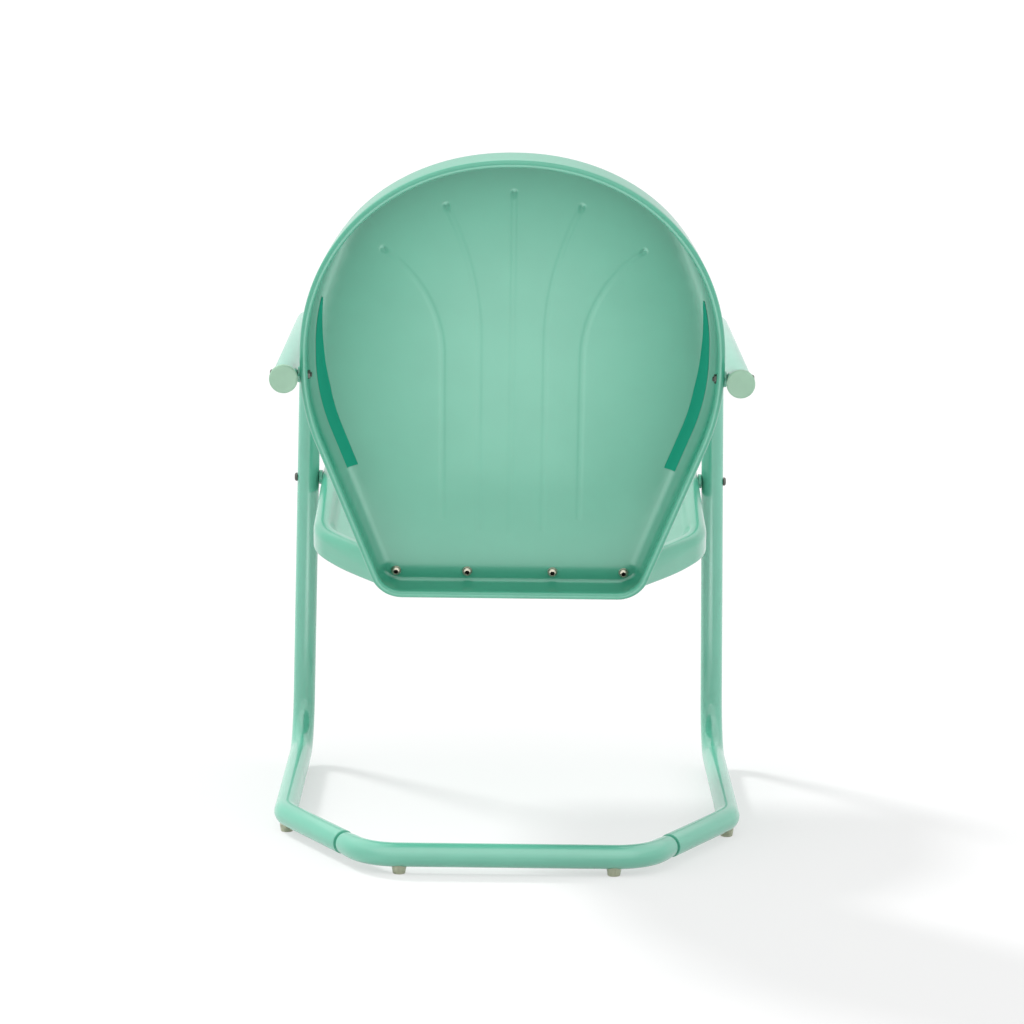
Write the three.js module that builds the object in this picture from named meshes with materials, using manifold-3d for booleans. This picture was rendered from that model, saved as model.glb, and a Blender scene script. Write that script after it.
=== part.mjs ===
// Retro metal spring lawn chair: two bent tube side frames, a connector tube behind, a pressed seat
// pan and a pressed shell for the back, held by screws, washers, nuts and spacers.
// Millimetres, +Z up, +Y towards the rear, +X to the sitter's left.
import * as THREE from 'three';
import { mergeVertices } from 'three/addons/utils/BufferGeometryUtils.js';
import Module from 'manifold-3d';

const solids = await Module();
solids.setup();

const degree = Math.PI / 180;

// Clearances and cutting
const fitGap = 0.3;
const mergeDistance = 1e-4;
const cutOverrun = 5;

// Frame tube
const tubeDiameter = 28.6;
const tubeWall = 1.5;
const tubeRadius = tubeDiameter / 2;
const tubeBore = tubeRadius - tubeWall;
const tubeSides = 12;
const boreSides = 10;

// Side frames, measured on the tube's centreline from the front leg
const footHeight = 8;
const baseHeight = footHeight + tubeRadius;
const frameHalfWidth = 271.7;
const frameLean = 0.9 * degree;
const runnerLength = 392;
const springBendRadius = 65;
const runnerBendRadius = 60;
const armBendRadius = 95;
const armFall = 1.6 * degree;
const armTail = 34;

// Connector tube at the rear of the base
const baseDepth = 587;
const crossHalfWidth = 162;
const crossBendRadius = 60;
const seamDistance = 55.6;
const seamGap = 2.5;
const neckLength = 40;
const neckWall = 1.6;
const neckShoulder = 2.2;
const neckRoot = 4;

// Feet
const footTopRadius = 8.5;
const footBottomRadius = 7.4;
const footSaddle = 3;
const footSides = 10;
const frontFootDistance = 22;
const rearFootHalfWidth = 126;
const footScrewRadius = 2.1;
const footScrewHeadRadius = 4;
const footScrewHeadHeight = 2.4;
const footScrewLength = 12;
const footRecessRadius = 5;
const footRecessDepth = 4;
const footScrewSides = 8;

// Arm caps
const capRadius = 16.6;
const capThickness = 8;
const capEdgeRadius = 3.6;
const capDome = 0.9;
const capPlugLength = 16;
const capSides = 16;

// Pressed sheet
const sheet = 1.5;

// Back shell: up the panel from the rim's bottom, and behind the panel
const backRecline = 16 * degree;
const backFootDepth = 442.5;
const backFootHeight = 318.7;
const backHalfWidth = 245;
const backHeight = 556;
const backWidestUp = 305;
const backCrownPower = 2.1;
const backShoulderUp = 295;
const backShoulderRadius = 280;
const backTaper = 20.3 * degree;
const backCornerRadius = 38;
const backRimDepth = 38;
const backDraft = 9 * degree;
const backLip = 7.6;
const backRimRadius = 4;
const backEndFillet = 5.5;
const backSideFillet = 20;
const backFilletSideShares = [0.7, 0.93];
const backDish = 15;
const backDishFlatUp = 48;
const backDishBlend = 110;
const backDishCentreUp = 300;
const backRingShares = [0.84, 0.54];
const backCrownSteps = 10;
const backFilletSteps = 3;

// Ribs pressed forward in the back, from the middle one outwards, in shares of the back's height
const ribWidth = 8;
const ribHeight = 2.6;
const ribShares = [
  { offset: 0, foot: 0.125, bend: 0.838, radius: 0, top: 0.891 },
  { offset: 0.0684, foot: 0.132, bend: 0.572, radius: 0.627, top: 0.857 },
  { offset: 0.1437, foot: 0.162, bend: 0.535, radius: 0.276, top: 0.763 },
];
const ribArcSteps = 4;
const ribStraightSteps = 3;

// Strips inside the back's sides
const stripFootUp = 156;
const stripTopUp = 373;
const stripOuterInset = 16.5;
const stripInnerInset = 26.5;
const stripSheet = 1.5;
const stripGap = 0.6;
const stripSteps = 9;

// Seat pan: behind the front leg, and below the rim's top
const seatSlope = 8.7 * degree;
const seatHeight = 395.6;
const seatHalfWidth = 246;
const seatFront = 66;
const seatFrontBow = 9;
const seatFrontRadius = 56;
const seatBowRadius = 1400;
const seatTaperStart = 262.5;
const seatTaper = 29.3 * degree;
const seatTaperRadius = 130;
const seatTuck = 48;
const seatTuckRadius = 20;
const seatSkirt = 32;
const seatHem = 5;
const seatHemRadius = 2;
const seatRollRadius = 9;
const seatRimWidth = 8;
const seatStep = 9;
const seatFloorDrop = 10;
const seatDish = 9;
const seatCentreDepth = 185;
const seatRingShares = [0.74, 0.38];
const seatTabHeight = 27;
const seatTabHalfWidth = 147;
const seatTabCornerRadius = 9;
const drainRadius = 3.5;
const drainSpacing = 60;
const drainFromTab = 30;

// Screws through the back's foot into the seat
const backScrewUp = 18.5;
const backOuterScrewAcross = 136;
const backInnerScrewAcross = 51;

// Bolts through the arms and the legs
const armBoltUp = 281;
const armBoltBehind = 24;
const legBoltDrop = 14.8;
const spacerRadius = 9.5;

// Fasteners
const screwRadius = 3;
const screwHeadRadius = 5.3;
const screwHeadHeight = 3.3;
const screwSocketRadius = 2.1;
const screwSocketDepth = 2;
const washerRadius = 6;
const washerThickness = 1.2;
const nutFlats = 10;
const nutThickness = 5;
const screwTip = 2;
const fastenerSides = 8;

const paint = { color: 0x8ccdb4, roughness: 0.35, metalness: 0.1 };
const sheetPaint = { color: 0x84c4ab, roughness: 0.35, metalness: 0.1 };
const stripPaint = { color: 0x3f9f82, roughness: 0.45, metalness: 0.1 };
const capPlastic = { color: 0xa0bba8, roughness: 0.6, metalness: 0 };
const footPlastic = { color: 0xc4c6b0, roughness: 0.45, metalness: 0 };
const brightSteel = { color: 0xc4c0b6, roughness: 0.3, metalness: 1 };
const darkSteel = { color: 0x55585a, roughness: 0.4, metalness: 1 };

const vector = (x, y, z) => new THREE.Vector3(x, y, z);
const flat = (x, y) => new THREE.Vector2(x, y);
const upward = vector(0, 0, 1);
const screwHole = screwRadius + fitGap;
const backScrewPlaces = [
  -backOuterScrewAcross,
  -backInnerScrewAcross,
  backInnerScrewAcross,
  backOuterScrewAcross,
];
// The largest radius that goes inside the faceted bore.
const plugRadius = tubeBore * Math.cos(Math.PI / boreSides) - fitGap;

// Solids and meshes

// A closed geometry with only its merged positions, without the flat triangles at a lathe's poles.
function bareGeometry(geometry) {
  const bare = geometry.clone();
  bare.deleteAttribute('normal');
  bare.deleteAttribute('uv');
  bare.clearGroups();
  const merged = mergeVertices(bare, mergeDistance);
  const kept = [];
  for (let corner = 0; corner < merged.index.count; corner += 3) {
    const [a, b, c] = [0, 1, 2].map((step) => merged.index.getX(corner + step));
    if (a !== b && b !== c && c !== a) kept.push(a, b, c);
  }
  merged.setIndex(kept);
  return merged;
}

function toSolid(geometry) {
  const bare = bareGeometry(geometry);
  const vertProperties = new Float32Array(bare.attributes.position.array);
  const triVerts = new Uint32Array(bare.index.array);
  return new solids.Manifold(new solids.Mesh({ numProp: 3, vertProperties, triVerts }));
}

function fromSolid(solid) {
  const mesh = solid.getMesh();
  const geometry = new THREE.BufferGeometry();
  geometry.setAttribute('position', new THREE.BufferAttribute(new Float32Array(mesh.vertProperties), 3));
  geometry.setIndex(new THREE.BufferAttribute(new Uint32Array(mesh.triVerts), 1));
  return geometry;
}

function cut(geometry, cutters) {
  const result = cutters.reduce((solid, cutter) => solid.subtract(toSolid(cutter)), toSolid(geometry));
  return fromSolid(result);
}

function join(geometry, additions) {
  const result = additions.reduce((solid, addition) => solid.add(toSolid(addition)), toSolid(geometry));
  return fromSolid(result);
}

function namedMesh(name, geometry, finish) {
  const mesh = new THREE.Mesh(geometry, new THREE.MeshStandardMaterial(finish));
  mesh.name = name;
  return mesh;
}

// Sections and paths

function circlePoints(radius, sides) {
  const points = [];
  for (let side = 0; side < sides; side += 1) {
    const angle = (side / sides) * 2 * Math.PI;
    points.push(flat(radius * Math.cos(angle), radius * Math.sin(angle)));
  }
  return points;
}

function ringShape(outerPoints, innerRadius, innerSides) {
  const shape = new THREE.Shape(outerPoints);
  shape.holes.push(new THREE.Path(circlePoints(innerRadius, innerSides)));
  return shape;
}

// A path that is given by its stations, each a point and a direction, so that a straight takes one
// step and a bend several. With an up direction the section keeps its top facing that way.
class StationPath extends THREE.Curve {
  constructor(stations, up = null) {
    super();
    this.stations = stations;
    this.up = up;
  }

  getPoint(share, target = vector(0, 0, 0)) {
    const place = share * (this.stations.length - 1);
    const index = Math.min(Math.floor(place), this.stations.length - 2);
    return target.lerpVectors(this.stations[index].point, this.stations[index + 1].point, place - index);
  }

  getTangent(share, target = vector(0, 0, 0)) {
    const index = Math.round(share * (this.stations.length - 1));
    return target.copy(this.stations[index].direction);
  }

  getUtoTmapping(share) {
    return share;
  }

  computeFrenetFrames(segments, closed) {
    if (!this.up) return super.computeFrenetFrames(segments, closed);
    const tangents = this.stations.map((station) => station.direction.clone());
    const normals = tangents.map((tangent) => this.up.clone().cross(tangent).normalize());
    const binormals = tangents.map((tangent, index) => tangent.clone().cross(normals[index]));
    return { tangents, normals, binormals };
  }
}

function sweep(shape, stations, up = null) {
  const extrudePath = new StationPath(stations, up);
  return new THREE.ExtrudeGeometry(shape, { steps: stations.length - 1, bevelEnabled: false, extrudePath });
}

function tubeAlong(stations) {
  return sweep(ringShape(circlePoints(tubeRadius, tubeSides), tubeBore, boreSides), stations);
}

function rodAlong(stations, radius) {
  return sweep(new THREE.Shape(circlePoints(radius, tubeSides)), stations);
}

// The stations of a round bend at a corner between two straights.
function bendAt(before, corner, after, radius, steps) {
  const into = corner.clone().sub(before).normalize();
  const out = after.clone().sub(corner).normalize();
  const turn = into.angleTo(out);
  const reach = radius * Math.tan(turn / 2);
  const start = corner.clone().addScaledVector(into, -reach);
  const side = out.clone().addScaledVector(into, -out.dot(into)).normalize();
  const stations = [];
  for (let step = 0; step <= steps; step += 1) {
    const angle = (step / steps) * turn;
    const along = radius * Math.sin(angle);
    const across = radius * (1 - Math.cos(angle));
    const point = start.clone().addScaledVector(into, along).addScaledVector(side, across);
    const direction = into.clone().multiplyScalar(Math.cos(angle)).addScaledVector(side, Math.sin(angle));
    stations.push({ point, direction });
  }
  return stations;
}

function endStation(point, direction) {
  return { point: point.clone(), direction: direction.clone() };
}

function slide(station, distance) {
  return endStation(station.point.clone().addScaledVector(station.direction, distance), station.direction);
}

// A rod across a piece, for cutting a hole through it.
function drill(centre, axis, radius, length) {
  const geometry = new THREE.CylinderGeometry(radius, radius, length, fastenerSides);
  geometry.applyQuaternion(new THREE.Quaternion().setFromUnitVectors(vector(0, 1, 0), axis));
  geometry.translate(centre.x, centre.y, centre.z);
  return geometry;
}

function mirrored(point, side) {
  return vector(point.x * side, point.y, point.z);
}

// Places that the pieces share

const backGroup = new THREE.Group();
backGroup.position.set(0, backFootDepth, backFootHeight);
backGroup.rotation.x = Math.PI / 2 - backRecline;
backGroup.updateMatrix();

const seatGroup = new THREE.Group();
seatGroup.position.set(0, 0, seatHeight);
seatGroup.rotation.x = -seatSlope;
seatGroup.updateMatrix();
const intoSeat = seatGroup.matrix.clone().invert();

// In the back's own axes, x runs across, y up the panel and z forwards.
const backPlace = (across, up, behind) => vector(across, up, -behind).applyMatrix4(backGroup.matrix);
const seatPlace = (across, along, above) => vector(across, along, above).applyMatrix4(seatGroup.matrix);

const frameX = (height) => frameHalfWidth - (height - baseHeight) * Math.tan(frameLean);

const armBoltPlace = backPlace(0, armBoltUp, armBoltBehind);
const legBoltPlace = seatPlace(0, legBoltDrop * Math.tan(seatSlope), -legBoltDrop);
const armHeightAt = (depth) => armBoltPlace.z + (armBoltPlace.y - depth) * Math.tan(armFall);
const armRearDepth = armBoltPlace.y + armTail;

// The side frame's corners, where its straights would meet.
function frameCorners(side) {
  const armFront = armHeightAt(0);
  const armRear = armHeightAt(armRearDepth);
  const points = {
    armEnd: vector(frameX(armRear), armRearDepth, armRear),
    armCorner: vector(frameX(armFront), 0, armFront),
    legCorner: vector(frameX(baseHeight), 0, baseHeight),
    runnerCorner: vector(frameX(baseHeight), runnerLength, baseHeight),
    crossCorner: vector(crossHalfWidth, baseDepth, baseHeight),
    crossMiddle: vector(0, baseDepth, baseHeight),
  };
  return Object.fromEntries(Object.entries(points).map(([name, point]) => [name, mirrored(point, side)]));
}

// The side frame's centreline from the arm's rear end to the seam with the connector.
function framePaths(side) {
  const corners = frameCorners(side);
  const armBend = bendAt(corners.armEnd, corners.armCorner, corners.legCorner, armBendRadius, 7);
  const spring = bendAt(corners.armCorner, corners.legCorner, corners.runnerCorner, springBendRadius, 7);
  const corner = bendAt(corners.legCorner, corners.runnerCorner, corners.crossCorner, runnerBendRadius, 3);
  const springTop = spring[0];
  const springFoot = spring[spring.length - 1];
  const diagonal = corner[corner.length - 1].direction;
  const seam = endStation(corners.crossCorner.clone().addScaledVector(diagonal, -seamDistance), diagonal);
  const armEnd = endStation(corners.armEnd, armBend[0].direction);
  return {
    armAndLeg: [armEnd, ...armBend, slide(springTop, -fitGap)],
    spring,
    runner: [slide(springFoot, fitGap), ...corner, seam],
    springFoot,
    corner,
    seam,
  };
}

// Where the feet stand: on each runner behind its spring bend and at its corner, and on the connector.
function footPlaces() {
  const places = [];
  for (const [side, word] of [[1, 'left'], [-1, 'right']]) {
    const paths = framePaths(side);
    const front = slide(paths.springFoot, frontFootDistance);
    const middle = paths.corner.slice(1, 3).map((station) => station.point);
    const bendMiddle = middle[0].clone().add(middle[1]).multiplyScalar(1 / 2);
    places.push({ name: `${word}_front`, carrier: paths.runner, point: front.point });
    places.push({ name: `${word}_corner`, carrier: paths.runner, point: bendMiddle });
    const rear = mirrored(vector(rearFootHalfWidth, baseDepth, baseHeight), side);
    places.push({ name: `${word}_rear`, carrier: connectorPath(), point: rear });
  }
  return places;
}

function connectorPath() {
  const left = frameCorners(1);
  const right = frameCorners(-1);
  const leftSeam = slide(framePaths(1).seam, seamGap);
  const rightSeam = slide(framePaths(-1).seam, seamGap);
  const bends = [
    ...bendAt(left.runnerCorner, left.crossCorner, left.crossMiddle, crossBendRadius, 4),
    ...bendAt(right.crossMiddle, right.crossCorner, right.runnerCorner, crossBendRadius, 4),
  ];
  const last = bends[bends.length - 1];
  return [leftSeam, ...bends, endStation(rightSeam.point, last.direction)];
}

// Frame

function footScrewHoles(name) {
  const places = footPlaces().filter((place) => place.name.includes(name));
  return places.map((place) => {
    const middle = place.point.clone().addScaledVector(upward, -tubeRadius);
    return drill(middle, upward, footScrewRadius + fitGap, tubeWall + cutOverrun * 2);
  });
}

function sideFrame(side, word) {
  const group = new THREE.Group();
  const paths = framePaths(side);
  const across = vector(1, 0, 0);
  const throughTube = tubeDiameter + cutOverrun * 2;
  const armBolt = mirrored(vector(frameX(armBoltPlace.z), armBoltPlace.y, armBoltPlace.z), side);
  const legBolt = mirrored(vector(frameX(legBoltPlace.z), legBoltPlace.y, legBoltPlace.z), side);
  const boltHoles = [armBolt, legBolt].map((place) => drill(place, across, screwHole, throughTube));
  const runnerHoles = footScrewHoles(`${word}_front`).concat(footScrewHoles(`${word}_corner`));
  group.add(namedMesh(`${word}_arm_leg_tube`, cut(tubeAlong(paths.armAndLeg), boltHoles), paint));
  group.add(namedMesh(`${word}_spring_bend`, tubeAlong(paths.spring), paint));
  group.add(namedMesh(`${word}_runner_tube`, cut(tubeAlong(paths.runner), runnerHoles), paint));
  group.add(armCap(paths.armAndLeg[0], `${word}_arm_cap`));
  return group;
}

// The reduced end of the connector, revolved about the tube's axis, from inside its own wall outwards.
function connectorNeck(station, outwards) {
  const neckBore = plugRadius - neckWall;
  const rootRadius = tubeRadius - tubeWall / 2;
  const profile = [
    flat(neckBore, -neckRoot),
    flat(rootRadius, -neckRoot),
    flat(rootRadius, 0),
    flat(plugRadius, neckShoulder),
    flat(plugRadius, neckLength),
    flat(neckBore, neckLength),
    flat(neckBore, -neckRoot),
  ];
  const geometry = new THREE.LatheGeometry(profile, fastenerSides);
  geometry.applyQuaternion(new THREE.Quaternion().setFromUnitVectors(vector(0, 1, 0), outwards));
  geometry.translate(station.point.x, station.point.y, station.point.z);
  return geometry;
}

function baseConnector() {
  const path = connectorPath();
  const first = path[0];
  const last = path[path.length - 1];
  const necks = [
    connectorNeck(first, first.direction.clone().negate()),
    connectorNeck(last, last.direction),
  ];
  const holes = footScrewHoles('rear');
  return namedMesh('base_connector', cut(join(tubeAlong(path), necks), holes), paint);
}

// A plastic cap with a plug inside the tube's end, revolved about the arm's axis.
function armCap(station, name) {
  const face = capThickness + capDome;
  const edgeAt = (angle) => flat(
    capRadius - capEdgeRadius * (1 - Math.cos(angle)),
    capThickness - capEdgeRadius * (1 - Math.sin(angle)),
  );
  const profile = [
    flat(0, -capPlugLength),
    flat(plugRadius, -capPlugLength),
    flat(plugRadius, fitGap),
    flat(capRadius, fitGap),
    edgeAt(0),
    edgeAt(Math.PI / 6),
    edgeAt(Math.PI / 3),
    edgeAt(Math.PI / 2),
    flat(0, face),
  ];
  const mesh = namedMesh(name, new THREE.LatheGeometry(profile, capSides), capPlastic);
  mesh.position.copy(station.point);
  mesh.quaternion.setFromUnitVectors(vector(0, 1, 0), station.direction.clone().negate());
  return mesh;
}

// Feet

function footAndScrew({ name, carrier, point }) {
  const group = new THREE.Group();
  const profile = [
    flat(0, footRecessDepth),
    flat(footRecessRadius, footRecessDepth),
    flat(footRecessRadius, 0),
    flat(footBottomRadius, 0),
    flat(footTopRadius, footHeight),
    flat(footTopRadius, footHeight + footSaddle),
    flat(0, footHeight + footSaddle),
  ];
  const body = new THREE.LatheGeometry(profile, footSides);
  body.rotateX(Math.PI / 2);
  body.translate(point.x, point.y, 0);
  const floorPoint = vector(point.x, point.y, footHeight / 2);
  const screwHoleInFoot = drill(floorPoint, upward, footScrewRadius + fitGap, footHeight * 2);
  const saddle = rodAlong(carrier, tubeRadius + fitGap);
  group.add(namedMesh(`${name}_foot`, cut(body, [saddle, screwHoleInFoot]), footPlastic));
  const screwProfile = [
    flat(0, footScrewLength),
    flat(footScrewRadius, footScrewLength),
    flat(footScrewRadius, footScrewHeadHeight),
    flat(footScrewHeadRadius, footScrewHeadHeight / 2),
    flat(footScrewHeadRadius, 0),
    flat(0, 0),
  ];
  const screw = new THREE.LatheGeometry(screwProfile.reverse(), footScrewSides);
  const screwMesh = namedMesh(`${name}_foot_screw`, screw, brightSteel);
  screwMesh.rotation.x = Math.PI / 2;
  screwMesh.position.set(point.x, point.y, footRecessDepth - fitGap - footScrewHeadHeight);
  group.add(screwMesh);
  return group;
}

function feet() {
  const group = new THREE.Group();
  footPlaces().forEach((place) => group.add(footAndScrew(place)));
  return group;
}

// Pressed sheets

// An outline through corners, each given as a point, the radius of its bend and the bend's steps.
function roundedCorners(corners) {
  const points = [];
  corners.forEach(({ point, radius, steps }, index) => {
    const before = corners[(index + corners.length - 1) % corners.length].point;
    const after = corners[(index + 1) % corners.length].point;
    const lift = (spot) => vector(spot.x, spot.y, 0);
    const bend = bendAt(lift(before), lift(point), lift(after), radius, steps);
    bend.forEach((station) => points.push(flat(station.point.x, station.point.y)));
  });
  return points;
}

// Points along an outline's long straights, so that the sheet inside them can curve.
function withLongStraightsDivided(points, longest) {
  const divided = [];
  points.forEach((point, index) => {
    const next = points[(index + 1) % points.length];
    const pieces = Math.max(1, Math.ceil(point.distanceTo(next) / longest));
    for (let piece = 0; piece < pieces; piece += 1) {
      divided.push(point.clone().lerp(next, piece / pieces));
    }
  });
  return divided;
}

// Each outline point with the direction into the sheet. The outline runs clockwise seen from above.
function withInwards(points) {
  return points.map((point, index) => {
    const before = points[(index + points.length - 1) % points.length];
    const after = points[(index + 1) % points.length];
    const into = point.clone().sub(before).normalize();
    const out = after.clone().sub(point).normalize();
    const along = into.add(out).normalize();
    return { point, inward: flat(along.y, -along.x) };
  });
}

// The outer face and the inner face of a bent sheet, from its middle line in inset and height.
function sheetFaces(middle, thickness) {
  return middle.map((point, index) => {
    const before = middle[Math.max(index - 1, 0)];
    const after = middle[Math.min(index + 1, middle.length - 1)];
    const along = after.clone().sub(before).normalize();
    const outwards = flat(-along.y, along.x).multiplyScalar(thickness / 2);
    return { outer: point.clone().add(outwards), inner: point.clone().sub(outwards) };
  });
}

// The triangles between two rows of points that both go once round, facing away from the sheet's top
// when flipped and up otherwise.
function addBand(positions, outerRow, innerRow, flipped) {
  outerRow.forEach((outer, index) => {
    const next = (index + 1) % outerRow.length;
    const inner = innerRow[index % innerRow.length];
    const innerNext = innerRow[next % innerRow.length];
    const corners = flipped
      ? [outer, outerRow[next], innerNext, outer, innerNext, inner]
      : [outer, innerNext, outerRow[next], outer, inner, innerNext];
    corners.forEach((corner) => positions.push(corner.x, corner.y, corner.z));
  });
}

// A sheet pressed to a profile round its outline, and crowned or dished inside it.
function pressedSheet({ outline, profileAt, centre, ringShares, heightAt }) {
  const edges = outline.map(({ point, inward }) => {
    const faces = sheetFaces(profileAt(inward), sheet);
    const place = (spot) => {
      const inset = point.clone().addScaledVector(inward, spot.x);
      return vector(inset.x, inset.y, spot.y);
    };
    return faces.map(({ outer, inner }) => ({ outer: place(outer), inner: place(inner) }));
  });
  const rowCount = edges[0].length;
  const outerRows = [];
  const innerRows = [];
  for (let row = 0; row < rowCount; row += 1) {
    outerRows.push(edges.map((edge) => edge[row].outer));
    innerRows.push(edges.map((edge) => edge[row].inner));
  }
  const lastRow = outerRows[rowCount - 1];
  for (const share of [...ringShares, 0]) {
    const middles = (share ? lastRow : [lastRow[0]]).map((point) => {
      const spot = flat(point.x, point.y).sub(centre).multiplyScalar(share).add(centre);
      return vector(spot.x, spot.y, heightAt(spot, share));
    });
    outerRows.push(middles.map((point) => point.clone().addScaledVector(upward, sheet / 2)));
    innerRows.push(middles.map((point) => point.clone().addScaledVector(upward, -sheet / 2)));
  }
  const positions = [];
  for (let row = 0; row + 1 < outerRows.length; row += 1) {
    addBand(positions, outerRows[row], outerRows[row + 1], false);
    addBand(positions, innerRows[row], innerRows[row + 1], true);
  }
  addBand(positions, outerRows[0], innerRows[0], true);
  const geometry = new THREE.BufferGeometry();
  geometry.setAttribute('position', new THREE.Float32BufferAttribute(positions, 3));
  return bareGeometry(geometry);
}

function arcPoints(centre, radius, fromAngle, toAngle, steps) {
  const points = [];
  for (let step = 0; step <= steps; step += 1) {
    const angle = fromAngle + (step / steps) * (toAngle - fromAngle);
    points.push(flat(centre.x + radius * Math.cos(angle), centre.y + radius * Math.sin(angle)));
  }
  return points;
}

// Back shell

// Half of the rim's outline, from the top of the crown down its left side to the foot's middle.
function backHalfOutline() {
  const points = [];
  const crownHeight = backHeight - backWidestUp;
  for (let step = 0; step <= backCrownSteps; step += 1) {
    const angle = (step / backCrownSteps) * (Math.PI / 2);
    const across = backHalfWidth * Math.sin(angle) ** (2 / backCrownPower);
    const up = crownHeight * Math.cos(angle) ** (2 / backCrownPower);
    points.push(flat(across, backWidestUp + Math.max(up, 0)));
  }
  const shoulderCentre = flat(backHalfWidth - backShoulderRadius, backShoulderUp);
  const shoulder = arcPoints(shoulderCentre, backShoulderRadius, 0, -backTaper, 3);
  points.push(...shoulder);
  const taperTop = shoulder[shoulder.length - 1];
  const footAcross = taperTop.x - taperTop.y * Math.tan(backTaper);
  const reach = backCornerRadius * Math.tan((Math.PI / 2 - backTaper) / 2);
  const cornerCentre = flat(footAcross - reach, backCornerRadius);
  points.push(...arcPoints(cornerCentre, backCornerRadius, -backTaper, -Math.PI / 2, 4));
  points.push(flat(0, 0));
  return points;
}

function backOutline() {
  const half = backHalfOutline();
  const otherSide = half.slice(1, -1).reverse().map((point) => flat(-point.x, point.y));
  const longest = backHalfWidth / 3;
  return withInwards(withLongStraightsDivided([...half, ...otherSide], longest));
}

// The shell's fillet is wider along its sides than over its crown and its foot.
function backFilletAt(inward) {
  const sideShare = THREE.MathUtils.smoothstep(Math.abs(inward.x), ...backFilletSideShares);
  return backEndFillet + (backSideFillet - backEndFillet) * sideShare;
}

// Middle line of the lip, rim bend, drafted wall and fillet, in inset and height before the panel.
function backProfile(inward) {
  const fillet = backFilletAt(inward);
  const wallFoot = fillet * (1 - Math.sin(backDraft));
  const wallRise = backRimDepth - backRimRadius - wallFoot;
  const wallInset = wallRise * Math.tan(backDraft);
  const panelInset = wallInset + fillet * Math.cos(backDraft);
  const rimCentre = flat(backRimRadius, backRimRadius - backRimDepth);
  const rim = arcPoints(rimCentre, backRimRadius, -Math.PI / 2, -Math.PI, 2);
  const filletCentre = flat(panelInset, -fillet);
  const filletBend = arcPoints(filletCentre, fillet, Math.PI - backDraft, Math.PI / 2, backFilletSteps);
  return [flat(backLip, -backRimDepth), ...rim, ...filletBend];
}

const backCentre = flat(0, backDishCentreUp);
const backPanelEdge = backOutline().map(({ point, inward }) => {
  const profile = backProfile(inward);
  return point.clone().addScaledVector(inward, profile[profile.length - 1].x);
});

// How far a spot lies from the dish's centre towards the panel's edge.
function backShareAt(spot) {
  const ray = spot.clone().sub(backCentre);
  let share = 0;
  backPanelEdge.forEach((point, index) => {
    const from = point.clone().sub(backCentre);
    const side = backPanelEdge[(index + 1) % backPanelEdge.length].clone().sub(point);
    const crossing = ray.cross(side);
    const along = from.cross(ray) / crossing;
    const reach = from.cross(side) / crossing;
    if (along >= 0 && along <= 1 && reach > 0) share = Math.max(share, 1 / reach);
  });
  return share;
}

function backHeightAt(spot, share) {
  const blend = THREE.MathUtils.smoothstep(spot.y, backDishFlatUp, backDishFlatUp + backDishBlend);
  return -backDish * (1 - share * share) * blend;
}

// A rib's stations: straight up the panel, then along an arc that leans outwards.
function ribStations(ribShare, side) {
  const [offset, foot, bend, radius, top] = ['offset', 'foot', 'bend', 'radius', 'top'].map((size) => {
    return ribShare[size] * backHeight;
  });
  const spots = [];
  for (let step = 0; step <= ribStraightSteps; step += 1) {
    spots.push(flat(offset, foot + (step / ribStraightSteps) * (bend - foot)));
  }
  const turn = radius ? Math.asin((top - bend) / radius) : 0;
  for (let step = 1; step <= ribArcSteps && radius; step += 1) {
    const angle = (step / ribArcSteps) * turn;
    spots.push(flat(offset + radius * (1 - Math.cos(angle)), bend + radius * Math.sin(angle)));
  }
  if (!radius) spots.push(flat(offset, top));
  const points = spots.map((spot) => {
    const place = flat(spot.x * side, spot.y);
    return vector(place.x, place.y, backHeightAt(place, backShareAt(place)));
  });
  return points.map((point, index) => {
    const before = points[Math.max(index - 1, 0)];
    const after = points[Math.min(index + 1, points.length - 1)];
    return { point, direction: after.clone().sub(before).normalize() };
  });
}

function ribSection(halfWidth, height, depth) {
  return new THREE.Shape([
    flat(-halfWidth, -depth),
    flat(halfWidth, -depth),
    flat(halfWidth * Math.cos(Math.PI / 4), height * Math.sin(Math.PI / 3)),
    flat(0, height),
    flat(-halfWidth * Math.cos(Math.PI / 4), height * Math.sin(Math.PI / 3)),
  ]);
}

function backShell() {
  const shell = pressedSheet({
    outline: backOutline(),
    profileAt: backProfile,
    centre: backCentre,
    ringShares: backRingShares,
    heightAt: backHeightAt,
  });
  const paths = [];
  ribShares.forEach((ribShare) => {
    paths.push(ribStations(ribShare, 1));
    if (ribShare.offset) paths.push(ribStations(ribShare, -1));
  });
  const bead = ribSection(ribWidth / 2, ribHeight + sheet / 2, sheet / 4);
  const grooveHalfWidth = ribWidth / 2 - sheet;
  const groove = ribSection(grooveHalfWidth, ribHeight - sheet / 2, sheet * 2);
  const beads = paths.map((path) => sweep(bead, path, upward));
  const grooves = paths.map((path) => {
    const inner = [slide(path[0], sheet), ...path.slice(1, -1), slide(path[path.length - 1], -sheet)];
    return sweep(groove, inner, upward);
  });
  const screwHoles = backScrewPlaces.map((across) => {
    return drill(vector(across, backScrewUp, 0), upward, screwHole, cutOverrun * 2);
  });
  const armHoles = [1, -1].map((side) => {
    const wall = vector(backWallFace(armBoltUp, armBoltBehind) * side, armBoltUp, -armBoltBehind);
    return drill(wall, vector(1, 0, 0), screwHole, cutOverrun * 2);
  });
  const cutters = [...grooves, ...screwHoles, ...armHoles];
  return namedMesh('back_shell', cut(join(shell, beads), cutters), sheetPaint);
}

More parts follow.
